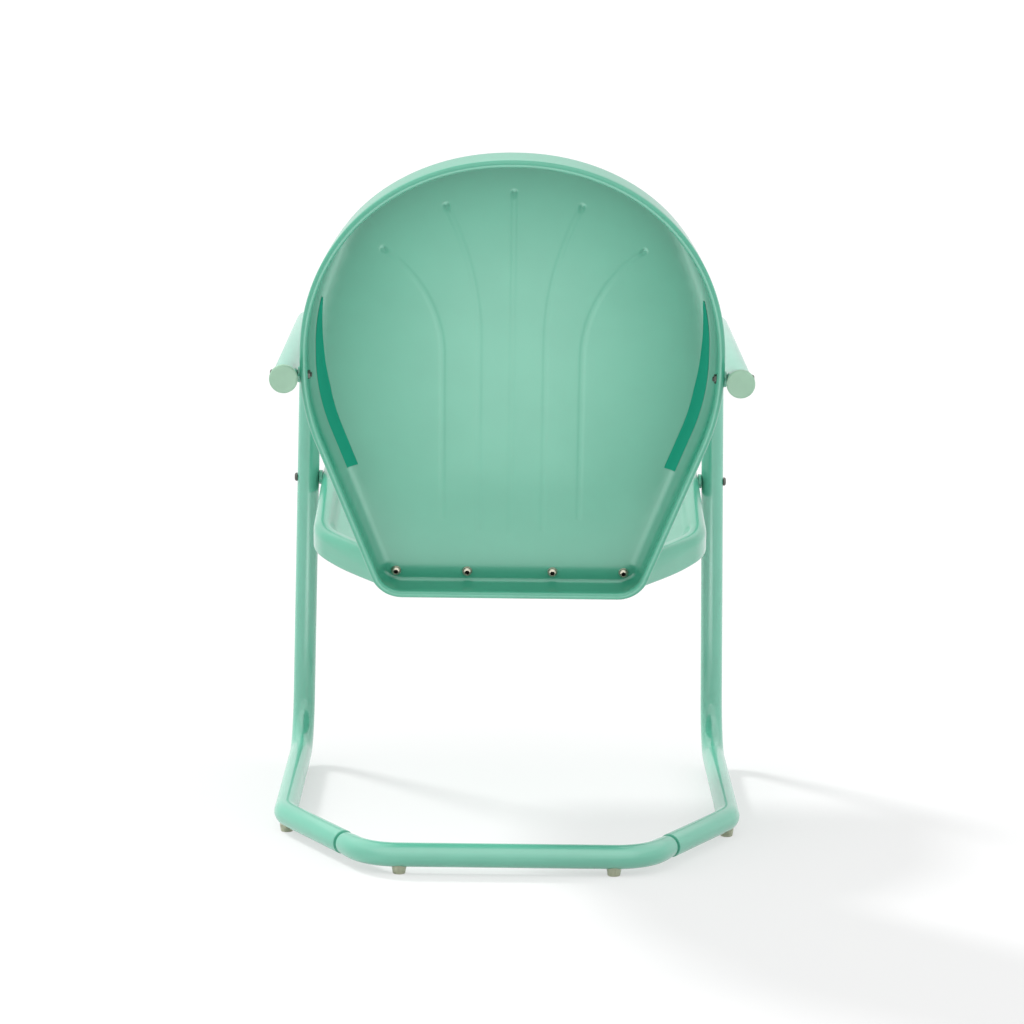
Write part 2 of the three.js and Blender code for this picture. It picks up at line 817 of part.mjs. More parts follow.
// The rim's left side at a height, between the outline's points.
function backEdgeAt(up) {
  const outline = backOutline().filter(({ point }) => point.x > 0);
  const index = outline.findIndex(({ point }, place) => place > 0 && point.y <= up);
  const above = outline[index - 1];
  const below = outline[index];
  const share = (above.point.y - up) / (above.point.y - below.point.y);
  const point = above.point.clone().lerp(below.point, share);
  const inward = above.inward.clone().lerp(below.inward, share).normalize();
  return { point, inward };
}

// The outer face of the shell's side wall, at a height and a depth behind the panel.
function backWallFace(up, behind) {
  const { point, inward } = backEdgeAt(up);
  const inset = (backRimDepth - backRimRadius - behind) * Math.tan(backDraft);
  return point.x + inset * inward.x + sheet / 2 / Math.cos(backDraft);
}

function sideStrip(side, word) {
  const faceGap = sheet / 2 + stripGap + stripSheet / 2;
  const stations = [];
  for (let step = 0; step <= stripSteps; step += 1) {
    stations.push(backEdgeAt(stripTopUp + (step / stripSteps) * (stripFootUp - stripTopUp)));
  }
  const rows = stations.map(({ point, inward }) => {
    const fillet = backFilletAt(inward);
    const panelInset = backProfile(inward).at(-1).x;
    const section = [0, 1 / 3, 2 / 3, 1].map((share) => {
      const inset = stripOuterInset + share * (stripInnerInset - stripOuterInset);
      const across = Math.max(panelInset - inset, 0);
      const valley = fillet - Math.sqrt(fillet ** 2 - across ** 2);
      const spot = point.clone().addScaledVector(inward, inset);
      const dish = backHeightAt(spot, Math.min(backShareAt(spot), 1));
      return flat(inset, -valley + dish - faceGap);
    });
    return sheetFaces(section, stripSheet).map(({ outer, inner }) => [outer, inner].map((spot) => {
      const place = point.clone().addScaledVector(inward, spot.x);
      return vector(place.x * side, place.y, spot.y);
    }));
  });
  const loops = rows.map((row) => [...row.map((pair) => pair[0]), ...row.map((pair) => pair[1]).reverse()]);
  const positions = [];
  const add = (a, b, c) => {
    const corners = side > 0 ? [a, c, b] : [a, b, c];
    corners.forEach((corner) => positions.push(corner.x, corner.y, corner.z));
  };
  for (let row = 0; row + 1 < loops.length; row += 1) {
    loops[row].forEach((corner, index) => {
      const next = (index + 1) % loops[row].length;
      add(corner, loops[row + 1][index], loops[row + 1][next]);
      add(corner, loops[row + 1][next], loops[row][next]);
    });
  }
  const half = rows[0].length;
  for (let pair = 0; pair + 1 < half; pair += 1) {
    for (const [loop, isFoot] of [[loops[0], false], [loops[loops.length - 1], true]]) {
      const [a, b] = [loop[pair], loop[pair + 1]];
      const [c, d] = [loop[loop.length - 2 - pair], loop[loop.length - 1 - pair]];
      if (isFoot) add(a, c, b);
      if (isFoot) add(a, d, c);
      if (!isFoot) add(a, b, c);
      if (!isFoot) add(a, c, d);
    }
  }
  const geometry = new THREE.BufferGeometry();
  geometry.setAttribute('position', new THREE.Float32BufferAttribute(positions, 3));
  return namedMesh(`${word}_side_strip`, bareGeometry(geometry), stripPaint);
}

// Seat pan

function seatOutline() {
  const tuckDepth = seatTabDepth() + seatTuck;
  const tuckHalfWidth = seatHalfWidth - (tuckDepth - seatTaperStart) * Math.tan(seatTaper);
  const half = [
    { point: flat(tuckHalfWidth, tuckDepth), radius: seatTuckRadius, steps: 1 },
    { point: flat(seatHalfWidth, seatTaperStart), radius: seatTaperRadius, steps: 4 },
    { point: flat(seatHalfWidth, -seatFront), radius: seatFrontRadius, steps: 6 },
  ];
  const front = { point: flat(0, -seatFront - seatFrontBow), radius: seatBowRadius, steps: 2 };
  const otherSide = half.map((corner) => ({ ...corner, point: flat(-corner.point.x, corner.point.y) }));
  const points = roundedCorners([...half, front, ...otherSide.reverse()]);
  return withInwards(withLongStraightsDivided(points, seatHalfWidth / 2));
}

// Middle line of the hem, skirt, rolled edge, rim and the step down to the seat's floor.
function seatProfile() {
  const hemCentre = flat(seatHemRadius, seatHemRadius - seatSkirt);
  const hem = arcPoints(hemCentre, seatHemRadius, -Math.PI / 2, -Math.PI, 1);
  const rollCentre = flat(seatRollRadius, -seatRollRadius);
  const roll = arcPoints(rollCentre, seatRollRadius, Math.PI, Math.PI / 2, 3);
  const rimEnd = seatRollRadius + seatRimWidth;
  return [
    flat(seatHem, -seatSkirt),
    ...hem,
    ...roll,
    flat(rimEnd, 0),
    flat(rimEnd + seatStep, -seatFloorDrop),
  ];
}

function seatFloorAt(spot, share) {
  const rear = seatTabDepth() - seatRollRadius;
  const blend = THREE.MathUtils.smoothstep(rear - spot.y, 0, seatHalfWidth / 2);
  return -seatFloorDrop - seatDish * (1 - share * share) * blend;
}

// The seat's rear tab lies against the front of the back's panel.
function seatTabDepth() {
  return backPlace(0, 0, -sheet / 2 - fitGap).applyMatrix4(intoSeat).y;
}

function seatTab() {
  const floorSpot = vector(0, seatTabDepth(), -seatFloorDrop - sheet / 2);
  const floorUp = floorSpot.applyMatrix4(seatGroup.matrix).z - backFootHeight;
  const low = floorUp / Math.cos(backRecline);
  const high = low + seatTabHeight;
  const radius = seatTabCornerRadius;
  const right = seatTabHalfWidth - radius;
  const shape = new THREE.Shape([
    flat(-seatTabHalfWidth, low),
    flat(seatTabHalfWidth, low),
    ...arcPoints(flat(right, high - radius), radius, 0, Math.PI / 2, 3),
    ...arcPoints(flat(-right, high - radius), radius, Math.PI / 2, Math.PI, 3),
  ]);
  const geometry = new THREE.ExtrudeGeometry(shape, { depth: sheet, bevelEnabled: false });
  geometry.translate(0, 0, sheet / 2 + fitGap);
  return geometry.applyMatrix4(backGroup.matrix).applyMatrix4(intoSeat);
}

// Everything behind the tab's middle, taken off the pan so that it ends within the tab.
function behindTheTab() {
  const reach = seatHalfWidth;
  const geometry = new THREE.BoxGeometry(reach * 2, reach, reach);
  geometry.translate(0, 0, sheet + fitGap - reach / 2);
  return geometry.applyMatrix4(backGroup.matrix).applyMatrix4(intoSeat);
}

function seatPan() {
  const pan = pressedSheet({
    outline: seatOutline(),
    profileAt: seatProfile,
    centre: flat(0, seatCentreDepth),
    ringShares: seatRingShares,
    heightAt: seatFloorAt,
  });
  const screwHoles = backScrewPlaces.map((across) => {
    const hole = drill(vector(across, backScrewUp, sheet), upward, screwHole, cutOverrun * 2);
    return hole.applyMatrix4(backGroup.matrix).applyMatrix4(intoSeat);
  });
  const legBolt = legBoltPlace.clone().applyMatrix4(intoSeat);
  const legHoles = [1, -1].map((side) => {
    const place = vector(seatHalfWidth * side, legBolt.y, legBolt.z);
    return drill(place, vector(1, 0, 0), screwHole, cutOverrun * 2);
  });
  const drains = [-1, 0, 1].map((step) => {
    const place = vector(step * drainSpacing, seatTabDepth() - drainFromTab, -seatFloorDrop);
    return drill(place, upward, drainRadius, cutOverrun * 2);
  });
  const ended = cut(pan, [behindTheTab()]);
  const whole = cut(join(ended, [seatTab()]), [...screwHoles, ...legHoles, ...drains]);
  return namedMesh('seat_pan', whole, sheetPaint);
}

// Fasteners, each made with its axis along Z and its head or face towards +Z

function screwGeometry(length) {
  const domeAt = (angle) => flat(
    screwSocketRadius + (screwHeadRadius - screwSocketRadius) * Math.cos(angle),
    screwHeadHeight * Math.sin(angle),
  );
  const profile = [
    flat(0, -length),
    flat(screwRadius, -length),
    flat(screwRadius, 0),
    domeAt(0),
    domeAt(Math.PI / 4),
    domeAt(Math.PI / 2),
    flat(screwSocketRadius, screwHeadHeight - screwSocketDepth),
    flat(0, screwHeadHeight - screwSocketDepth),
  ];
  const geometry = new THREE.LatheGeometry(profile, fastenerSides);
  geometry.rotateX(Math.PI / 2);
  return geometry;
}

function ringGeometry(radius, thickness) {
  const shape = ringShape(circlePoints(radius, fastenerSides), screwHole, fastenerSides);
  return new THREE.ExtrudeGeometry(shape, { depth: thickness, bevelEnabled: false });
}

function nutGeometry() {
  const cornerRadius = nutFlats / 2 / Math.cos(Math.PI / 6);
  const shape = ringShape(circlePoints(cornerRadius, 6), screwHole, fastenerSides);
  return new THREE.ExtrudeGeometry(shape, { depth: nutThickness, bevelEnabled: false });
}

// A stack along a screw: each piece at its own distance from the head's seat, towards the tip.
function screwStack({ name, finish, length, washerAt, nutAt }) {
  const group = new THREE.Group();
  group.add(namedMesh(`${name}_screw`, screwGeometry(length), finish));
  const washer = namedMesh(`${name}_washer`, ringGeometry(washerRadius, washerThickness), finish);
  washer.position.z = -washerAt - washerThickness;
  const nut = namedMesh(`${name}_nut`, nutGeometry(), finish);
  nut.position.z = -nutAt - nutThickness;
  group.add(washer, nut);
  return group;
}

// The back's screws go in from behind, with a washer under the head and a nut before the seat's tab.
function backScrews() {
  const group = new THREE.Group();
  const washerAt = fitGap;
  const shellRear = washerAt + washerThickness + fitGap;
  const tabFront = shellRear + sheet + fitGap + sheet;
  const nutAt = tabFront + fitGap;
  const length = nutAt + nutThickness + screwTip;
  backScrewPlaces.forEach((across, index) => {
    const stack = screwStack({ name: `back_${index + 1}`, finish: brightSteel, length, washerAt, nutAt });
    stack.rotation.x = Math.PI;
    stack.position.set(across, backScrewUp, -sheet / 2 - shellRear);
    group.add(stack);
  });
  return group;
}

// A bolt from outside a frame tube, through a spacer and a sheet wall, into a washer and a nut.
function sideBolt({ name, side, headAt, wallInner, place }) {
  const washerAt = headAt - wallInner + fitGap;
  const nutAt = washerAt + washerThickness + fitGap;
  const length = nutAt + nutThickness + screwTip;
  const stack = screwStack({ name, finish: darkSteel, length, washerAt, nutAt });
  stack.rotation.y = (Math.PI / 2) * side;
  stack.position.set(headAt * side, place.y, place.z);
  return stack;
}

// The arm's spacer is cut at its inner end to lie along the shell's drafted wall.
function armSpacer(side, word, outerFace) {
  const geometry = ringGeometry(spacerRadius, 1);
  const position = geometry.attributes.position;
  for (let index = 0; index < position.count; index += 1) {
    const up = armBoltUp + position.getX(index);
    const behind = armBoltBehind + position.getY(index);
    const wall = backWallFace(up, behind) + fitGap;
    const across = position.getZ(index) > 0 ? wall : outerFace;
    position.setXYZ(index, across * side, up, -behind);
  }
  const faces = side > 0 ? geometry : turnedInsideOut(geometry);
  return namedMesh(`${word}_arm_spacer`, faces, paint);
}

// A mirror image has its faces inside out, so each triangle's corners are swapped.
function turnedInsideOut(geometry) {
  const bare = bareGeometry(geometry);
  const corners = bare.index.array;
  const swapped = [];
  for (let corner = 0; corner < corners.length; corner += 3) {
    swapped.push(corners[corner], corners[corner + 2], corners[corner + 1]);
  }
  bare.setIndex(swapped);
  return bare;
}

function armJoints() {
  const group = new THREE.Group();
  const armX = frameX(armBoltPlace.z);
  const headAt = armX + tubeRadius + fitGap;
  const outerFace = armX - tubeRadius - fitGap;
  const seatOfWasher = backWallFace(armBoltUp, armBoltBehind - washerRadius) - sheet / Math.cos(backDraft);
  const place = vector(0, armBoltUp, -armBoltBehind);
  for (const [side, word] of [[1, 'left'], [-1, 'right']]) {
    group.add(sideBolt({ name: `${word}_arm`, side, headAt, wallInner: seatOfWasher, place }));
    group.add(armSpacer(side, word, outerFace));
  }
  return group;
}

function legJoints() {
  const group = new THREE.Group();
  const legX = frameX(legBoltPlace.z);
  const headAt = legX + tubeRadius + fitGap;
  const skirtOuter = seatHalfWidth + sheet / 2;
  const thickness = legX - tubeRadius - skirtOuter - fitGap * 2;
  const place = legBoltPlace.clone().applyMatrix4(intoSeat);
  for (const [side, word] of [[1, 'left'], [-1, 'right']]) {
    group.add(sideBolt({ name: `${word}_leg`, side, headAt, wallInner: skirtOuter - sheet, place }));
    const spacer = namedMesh(`${word}_leg_spacer`, ringGeometry(spacerRadius, thickness), paint);
    spacer.rotation.y = (Math.PI / 2) * side;
    spacer.position.set((skirtOuter + fitGap) * side, place.y, place.z);
    group.add(spacer);
  }
  return group;
}

// Assembly, stood with its origin on the floor at the middle of its box

const chair = new THREE.Group();
chair.add(sideFrame(1, 'left'), sideFrame(-1, 'right'), baseConnector(), feet());
backGroup.add(backShell(), sideStrip(1, 'left'), sideStrip(-1, 'right'), backScrews(), armJoints());
seatGroup.add(seatPan(), legJoints());
chair.add(backGroup, seatGroup);

const box = new THREE.Box3().setFromObject(chair, true);
chair.position.y = -(box.min.y + box.max.y) / 2;

export default chair;
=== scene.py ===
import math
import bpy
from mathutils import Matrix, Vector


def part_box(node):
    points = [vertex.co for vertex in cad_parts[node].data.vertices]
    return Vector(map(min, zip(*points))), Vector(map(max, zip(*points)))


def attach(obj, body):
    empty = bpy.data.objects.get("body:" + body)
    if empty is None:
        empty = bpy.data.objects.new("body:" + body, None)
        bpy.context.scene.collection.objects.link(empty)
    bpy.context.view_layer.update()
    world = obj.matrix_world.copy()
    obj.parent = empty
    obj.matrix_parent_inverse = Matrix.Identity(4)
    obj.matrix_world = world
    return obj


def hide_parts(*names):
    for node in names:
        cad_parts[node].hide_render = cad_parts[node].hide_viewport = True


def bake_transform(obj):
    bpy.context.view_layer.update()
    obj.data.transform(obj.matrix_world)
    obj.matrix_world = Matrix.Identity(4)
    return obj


bl_info = {
    "name": "Spring lawn chair",
    "version": (1, 0, 0),
    "blender": (4, 5, 0),
    "location": "3D View > Sidebar > Lawn chair",
    "description": "Dresses the packed metal spring lawn chair and sets its studio",
    "category": "Object",
}

import bmesh
import bpy
import numpy as np
from bpy.props import FloatProperty, FloatVectorProperty, IntProperty, PointerProperty
from mathutils import Matrix, Vector
from mathutils.geometry import delaunay_2d_cdt

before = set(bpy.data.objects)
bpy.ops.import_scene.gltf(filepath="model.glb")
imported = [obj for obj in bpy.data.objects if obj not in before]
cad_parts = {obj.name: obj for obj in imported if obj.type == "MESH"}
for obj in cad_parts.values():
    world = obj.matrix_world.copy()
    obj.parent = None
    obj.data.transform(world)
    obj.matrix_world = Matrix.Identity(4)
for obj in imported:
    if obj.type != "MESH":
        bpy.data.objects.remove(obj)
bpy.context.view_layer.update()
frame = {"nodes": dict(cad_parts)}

BASE = "base"
SEAT_UNIT = "seat_unit"
SIDES = ((1, "left"), (-1, "right"))

ROUND_SIDES = 48  # faces round a turned piece
BORE = 1.08  # a bore's radius as a share of the screw's in it
HAIR = 0.0001  # a gap that keeps two pieces from touching
SPACER_EASE = 0.0005  # how far a spacer's edges are eased
WASHER_EASE = 0.00025  # the same for a washer's edges
TUBE_EASE = 0.0008  # how far a cut tube's ends are rounded
RIB_STEP = 0.003  # between two points on a rib's centre line
PANEL_STEP = 0.0062  # between two points on the back's panel
FLOOR_STEP = 0.0075  # between two points on the seat's floor
FOLD_SHORT = 0.034  # from each end of the tab to the fold that joins it to the floor
RIM_FADE = 0.026  # over which the seat's rim rises beside its tab
# Near-black that paints the shade inside the screws' sockets
RECESS_PAINTED_SHADE = (0.012, 0.010, 0.008, 1.0)

# Rows of points beside a rib's centre line, closer where the sheet bends
RIB_ASIDE = (0.0011, 0.0021, 0.0031, 0.0044, 0.0062, 0.0085)
RIB_CLEAR = 0.0118  # from a rib's centre line to the panel's other points

# The connector's visible end: how far past the seam, and its girth as a share of the tube's
CONNECTOR_END = (
    (0.0, 0.89),
    (0.0003, 0.91),
    (0.001, 0.925),
    (0.006, 0.95),
    (0.012, 0.98),
    (0.018, 1.0),
)

# Each rib as shares of the ribs' span: how far out it stands, where it starts, where it begins
# to lean outwards, the radius of that bend and where it ends. A radius of 0 is a straight rib.
RIBS = (
    (0.0, 0.125, 0.838, 0.0, 0.891),
    (0.0684, 0.132, 0.572, 0.627, 0.857),
    (0.1437, 0.162, 0.535, 0.276, 0.763),
)


# Sizes and colours that a user would change


def number(label, description, default, **settings):
    return FloatProperty(name=label, description=description, default=default, **settings)


def length(label, description, default):
    return number(label, description, default, min=0.0, unit="LENGTH", precision=4)


def signed_length(label, description, default):
    """A length that may be negative."""
    return number(label, description, default, unit="LENGTH", precision=4)


def angle(label, description, degrees):
    return number(label, description, math.radians(degrees), subtype="ANGLE")


def share(label, description, default):
    return number(label, description, default, min=0.0, max=1.0, subtype="FACTOR")


def colour(label, description, red, green, blue):
    """A colour property whose default is given as it shows on a screen, from 0 to 255."""
    screen = [channel / 255 for channel in (red, green, blue)]
    linear = [
        value / 12.92 if value <= 0.04045 else ((value + 0.055) / 1.055) ** 2.4 for value in screen
    ]
    return FloatVectorProperty(
        name=label, description=description, default=linear, min=0.0, max=1.0, subtype="COLOR"
    )


class FrameSizes(bpy.types.PropertyGroup):
    """Sizes of the two side frames and of the connector behind them."""

    tube: length("Tube diameter", "Outside diameter of the frame tube", 0.0286)
    sides: IntProperty(name="Tube sides", description="Faces round the tube", default=40, min=8)
    half_width: length("Half width", "From the middle to the tube at the floor", 0.2717)
    lean: angle("Leg lean", "How far each leg leans inwards", 0.9)
    front: signed_length("Leg depth", "Where the legs stand", -0.2767)
    base_height: length("Base height", "Height of the runners' centre line", 0.0223)
    arm_front: length("Arm height in front", "Where the arm would meet the leg", 0.5974)
    arm_rear: length("Arm height behind", "Height of the arm's rear end", 0.5812)
    arm_end: length("Arm end", "Depth of the arm's rear end", 0.3003)
    arm_bend: length("Arm bend", "Radius of the bend from arm to leg", 0.095)
    spring_bend: length("Spring bend", "Radius of the bend at the floor", 0.065)
    runner_corner: length("Runner corner", "Depth where the runner turns inwards", 0.1153)
    runner_bend: length("Runner bend", "Radius of the runner's turn", 0.060)
    cross_half_width: length("Cross half width", "Where the cross tube turns", 0.162)
    cross_depth: length("Cross depth", "Depth of the cross tube", 0.3103)
    cross_bend: length("Cross bend", "Radius of the cross tube's turn", 0.060)
    seam_distance: length("Seam distance", "From the seam to the cross tube's corner", 0.0645)
    seam_gap: length("Seam gap", "Gap between a runner and the connector", 0.0045)
    neck: length("Neck radius", "Radius of the connector's reduced ends", 0.0100)


class BackSizes(bpy.types.PropertyGroup):
    """Sizes of the pressed back and of the strips in it."""

    recline: angle("Recline", "How far the back leans from upright", 16.0)
    foot_depth: length("Foot depth", "Depth of the panel's foot", 0.1658)
    foot_height: length("Foot height", "Height of the panel's foot", 0.3187)
    sheet: length("Sheet", "Thickness of the pressed sheet", 0.0015)
    half_width: length("Half width", "Half the back's greatest width", 0.245)
    height: length("Height", "Height of the back along its own slope", 0.549)
    widest_up: length("Widest place", "How far up the back the crown begins", 0.305)
    crown_power: number("Crown fullness", "Two is an ellipse, more is squarer", 2.1)
    shoulder_up: length("Shoulder", "How far up the back the sides begin to turn", 0.295)
    shoulder_radius: length("Shoulder radius", "Radius of the sides' turn", 0.280)
    taper: angle("Taper", "How far the lower sides lean inwards", 20.3)
    corner_radius: length("Corner radius", "Radius of the foot's corners", 0.038)
    rim_depth: length("Rim depth", "From the panel back to the lip", 0.038)
    rim_radius: length("Rim radius", "Radius of the rim's turned-in edge", 0.0038)
    lip: length("Lip", "How far the rim's edge runs forwards again", 0.0020)
    draft: angle("Draft", "Slant of the wall along the sides and the foot", 9.0)
    crown_draft: angle("Crown draft", "Slant of the wall over the crown", 3.0)
    end_fillet: length("End fillet", "Bend from wall to panel over the crown and the foot", 0.0055)
    side_fillet: length("Side fillet", "Bend from wall to panel along the sides", 0.020)
    dish: length("Dish", "How far the panel is hollowed for the sitter", 0.015)
    rib_span: length("Rib span", "Length that the ribs' shares are taken of", 0.564)
    rib_width: length("Rib width", "Width of a rib at its foot", 0.0096)
    rib_crown: length("Rib crown", "Width of a rib's level top", 0.0022)
    rib_height: length("Rib height", "How far a rib stands out", 0.00028)
    pit_depth: length("Pit depth", "Extra depth at a rib's upper end", 0.0018)
    pit_radius: length("Pit radius", "Size of the pit at a rib's upper end", 0.0046)
    strip_foot: length("Strip foot", "How far up the back the strips begin", 0.147)
    strip_top: length("Strip top", "How far up the back the strips end", 0.373)
    strip_outer: length("Strip inset", "From the rim in to the strip's outer edge", 0.0165)
    strip_width: length("Strip width", "Width of a strip at its foot", 0.0135)
    strip_point: length("Strip point", "Width of a strip at its top", 0.0015)
    strip_gap: length("Strip gap", "Gap between the strip and the sheet", 0.0002)
    strip_sheet: length("Strip sheet", "Thickness of a strip", 0.0007)


class SeatSizes(bpy.types.PropertyGroup):
    """Sizes of the pressed seat."""

    slope: angle("Slope", "How far the seat falls towards the back", 8.7)
    height: length("Height", "Height of the rim over the legs", 0.3956)
    half_width: length("Half width", "Half the seat's width", 0.246)
    front: length("Front", "How far the seat reaches before the legs", 0.066)
    front_bow: length("Front bow", "How far the front edge bows out", 0.009)
    front_radius: length("Front corner", "Radius of the front corners", 0.056)
    bow_radius: length("Bow radius", "Radius at the middle of the front edge", 1.4)
    taper_start: length("Taper start", "Where the sides turn inwards", 0.2625)
    taper: angle("Taper", "How far the rear sides turn inwards", 29.3)
    taper_radius: length("Taper radius", "Radius of that turn", 0.130)
    tuck: length("Tuck", "How far the outline runs on behind the tab", 0.048)
    tuck_radius: length("Tuck radius", "Radius of the outline's rear corners", 0.020)
    skirt: length("Skirt", "Depth of the skirt", 0.032)
    skirt_lift: length("Skirt lift", "How much shallower the skirt is at the tab", 0.014)
    lift_start: length("Lift start", "Where the skirt begins to rise", 0.300)
    rim_lift: length("Rim lift", "How far the rim rises beside the back", 0.011)
    sweep_start: length("Sweep start", "Where the rim begins to rise", 0.250)
    hem: length("Hem", "How far the hem turns in", 0.005)
    hem_radius: length("Hem radius", "Bend from the skirt to the hem", 0.002)
    roll_radius: length("Rolled edge", "Bend from the skirt to the rim", 0.011)
    step_start: length("Step start", "Inset where the rim ends", 0.016)
    step_end: length("Step end", "Inset where the floor begins", 0.030)
    floor_drop: length("Floor drop", "From the rim down to the floor", 0.010)
    dish: length("Dish", "How far the floor is hollowed", 0.009)
    centre: length("Dish centre", "Depth of the hollow's middle", 0.185)
    tab_height: length("Tab height", "Height of the tab that the back is screwed to", 0.027)
    tab_half_width: length("Tab half width", "Half the tab's width", 0.147)
    tab_corner: length("Tab corner", "Radius of the tab's corners", 0.009)
    fit: length("Fit", "Gap between pieces that touch", 0.0003)
    drain_radius: length("Drain radius", "Radius of a drain hole", 0.0035)
    drain_spacing: length("Drain spacing", "Between two drain holes", 0.060)
    drain_from_tab: length("Drain place", "From the tab forwards to the drain holes", 0.030)


class FixingSizes(bpy.types.PropertyGroup):
    """Sizes of the screws, washers, nuts, spacers, caps and feet."""

    screw_radius: length("Screw radius", "Radius of the thread", 0.003)
    screw_length: length("Back screw length", "Length of the back's screws", 0.0124)
    head_radius: length("Head radius", "Radius of a screw's domed head", 0.0056)
    head_height: length("Head height", "Height of a screw's domed head", 0.0033)
    socket: length("Socket", "Across the flats of the socket", 0.0048)
    socket_depth: length("Socket depth", "Depth of the socket", 0.0042)
    washer_radius: length("Washer radius", "Outside radius of a washer", 0.006)
    washer: length("Washer", "Thickness of a washer", 0.0012)
    nut_flats: length("Nut flats", "Across the flats of a nut", 0.010)
    nut: length("Nut", "Thickness of a nut", 0.005)
    tip: length("Tip", "How far a screw stands out of its nut", 0.002)
    spacer_radius: length("Spacer radius", "Outside radius of a spacer", 0.0095)
    cap_radius: length("Cap radius", "Outside radius of an arm's cap", 0.0166)
    cap_thickness: length("Cap thickness", "Thickness of an arm's cap", 0.008)
    cap_edge: length("Cap edge", "Radius of the cap's edge", 0.0036)
    cap_dome: length("Cap dome", "How far the cap's face bulges", 0.0009)
    cap_plug: length("Cap plug", "How far the cap reaches into the arm", 0.016)
    foot_height: length("Foot height", "From the floor to the tube", 0.008)
    foot_top: length("Foot top", "Radius of a foot under the tube", 0.0085)
    foot_bottom: length("Foot bottom", "Radius of a foot on the floor", 0.0074)
    foot_recess: length("Foot recess", "Radius of the recess round the screw", 0.005)
    foot_recess_depth: length("Recess depth", "Depth of that recess", 0.004)
    foot_screw_radius: length("Foot screw radius", "Radius of a foot's screw", 0.0021)
    foot_screw_head: length("Foot screw head", "Radius of its head", 0.004)
    foot_screw_height: length("Foot screw head height", "Height of its head", 0.0024)
    foot_screw_length: length("Foot screw length", "Length of a foot's screw", 0.012)
    seed: IntProperty(name="Turn seed", description="How far each screw is turned", default=7)


class FinishColours(bpy.types.PropertyGroup):
    """Colours and gloss of the finishes."""

    paint: colour("Paint", "Enamel on the sheets", 62, 153, 125)
    # The tubes' paler green is painted light: the sheets' enamel given a lighter colour
    tube_paint_lit: colour("Tube paint", "Enamel on the tubes, which look paler", 86, 168, 143)
    # The strips' darker green is painted shade: the fillet's shaded valley given as their colour
    strip: colour("Strip", "Enamel on the strips inside the back", 26, 148, 119)
    cap: colour("Caps", "Plastic of the arms' caps", 140, 176, 152)
    foot: colour("Feet", "Plastic of the feet", 192, 196, 170)
    bright: colour("Bright steel", "Zinc on the back's screws", 178, 174, 158)
    dark: colour("Dark steel", "Oxide on the side bolts", 98, 100, 94)
    paint_roughness: share("Paint roughness", "Lower is glossier", 0.30)
    tube_roughness: share("Tube roughness", "Lower is glossier", 0.36)
    cap_roughness: share("Cap roughness", "Lower is glossier", 0.55)


class StageSizes(bpy.types.PropertyGroup):
    """The studio: floor, lamp, world and camera."""

    floor_size: length("Floor size", "Width of the floor", 240.0)
    floor_colour: colour("Floor colour", "Colour of the studio floor", 252, 252, 252)
    sun_strength: number("Key strength", "Strength of the key lamp", 2.6)
    sun_size: angle("Key size", "How wide the key lamp looks", 11.0)
    sun_height: angle("Key height", "How high the key lamp stands", 40.0)
    sun_turn: angle("Key direction", "Where the key lamp stands, from the left side", -46.0)
    sky: number("Fill strength", "Even light from all round", 0.34)
    floor_bounce: share("Floor bounce", "How much of its light the floor throws back", 0.80)
    floor_lit: share("Floor lit", "How much of its light the floor is seen in", 0.33)
    floor_glow: share("Floor glow", "How much the floor glows where it is seen", 0.55)
    broad: number("Broad lamps", "Strength of the broad lamps", 1.0)
    reflector_power: number("Reflector", "Power of the white patch", 20.0, unit="POWER")
    reflector_width: length("Reflector width", "Width of the white patch", 1.1)
    reflector_depth: length("Reflector depth", "Depth of the white patch", 2.3)
    reflector_place: length("Reflector place", "From the middle back to the white patch", 1.12)
    lens: number("Lens", "Focal length in millimetres", 126.28)
    camera_across: signed_length("Camera across", "Camera place from the middle", 0.0063)
    camera_depth: length("Camera depth", "Camera place behind the chair", 4.404)
    camera_height: length("Camera height", "Camera place above the floor", 1.0823)
    camera_pitch: angle("Camera pitch", "How far the camera looks down", 9.05)
    camera_yaw: angle("Camera yaw", "How far the camera turns aside", -0.11)
    camera_roll: angle("Camera roll", "How far the camera tilts sideways", 0.67)


class LawnChair(bpy.types.PropertyGroup):
    """All the settings of the chair and its studio."""

    frame: PointerProperty(type=FrameSizes)
    back: PointerProperty(type=BackSizes)
    seat: PointerProperty(type=SeatSizes)
    fixings: PointerProperty(type=FixingSizes)
    finish: PointerProperty(type=FinishColours)
    stage: PointerProperty(type=StageSizes)


# The broad lamps: name, strength, then in degrees width, height above the floor and direction,
# which is 0 at the left side and 90 behind the chair, and whether the gloss shows the lamp
BROAD_LAMPS = (
    ("Top", 1.15, 120.0, 88.0, 90.0, True),
    ("Rear", 0.85, 90.0, 34.0, 90.0, True),
    ("Left", 1.15, 60.0, 18.0, 8.0, False),
    ("Right", 1.15, 60.0, 18.0, 172.0, False),
)


# Numbers and outlines


def smoothstep(value, low, high):
    part = np.clip((value - low) / (high - low), 0.0, 1.0)
    return part * part * (3.0 - 2.0 * part)


def arc(centre, radius, start, end, steps):
    """Points on an arc in a plane, from one angle to another."""
    turns = np.linspace(start, end, steps + 1)
    return [
        (centre[0] + radius * math.cos(turn), centre[1] + radius * math.sin(turn)) for turn in turns
    ]


def circle(centre, radius, sides=ROUND_SIDES):
    return arc(centre, radius, 0.0, 2 * math.pi, sides)[:-1]


def mirrored(spot, side):
    """The same spot on the left side, 1, or on the right side, -1."""
    return Vector((spot.x * side, spot.y, spot.z))


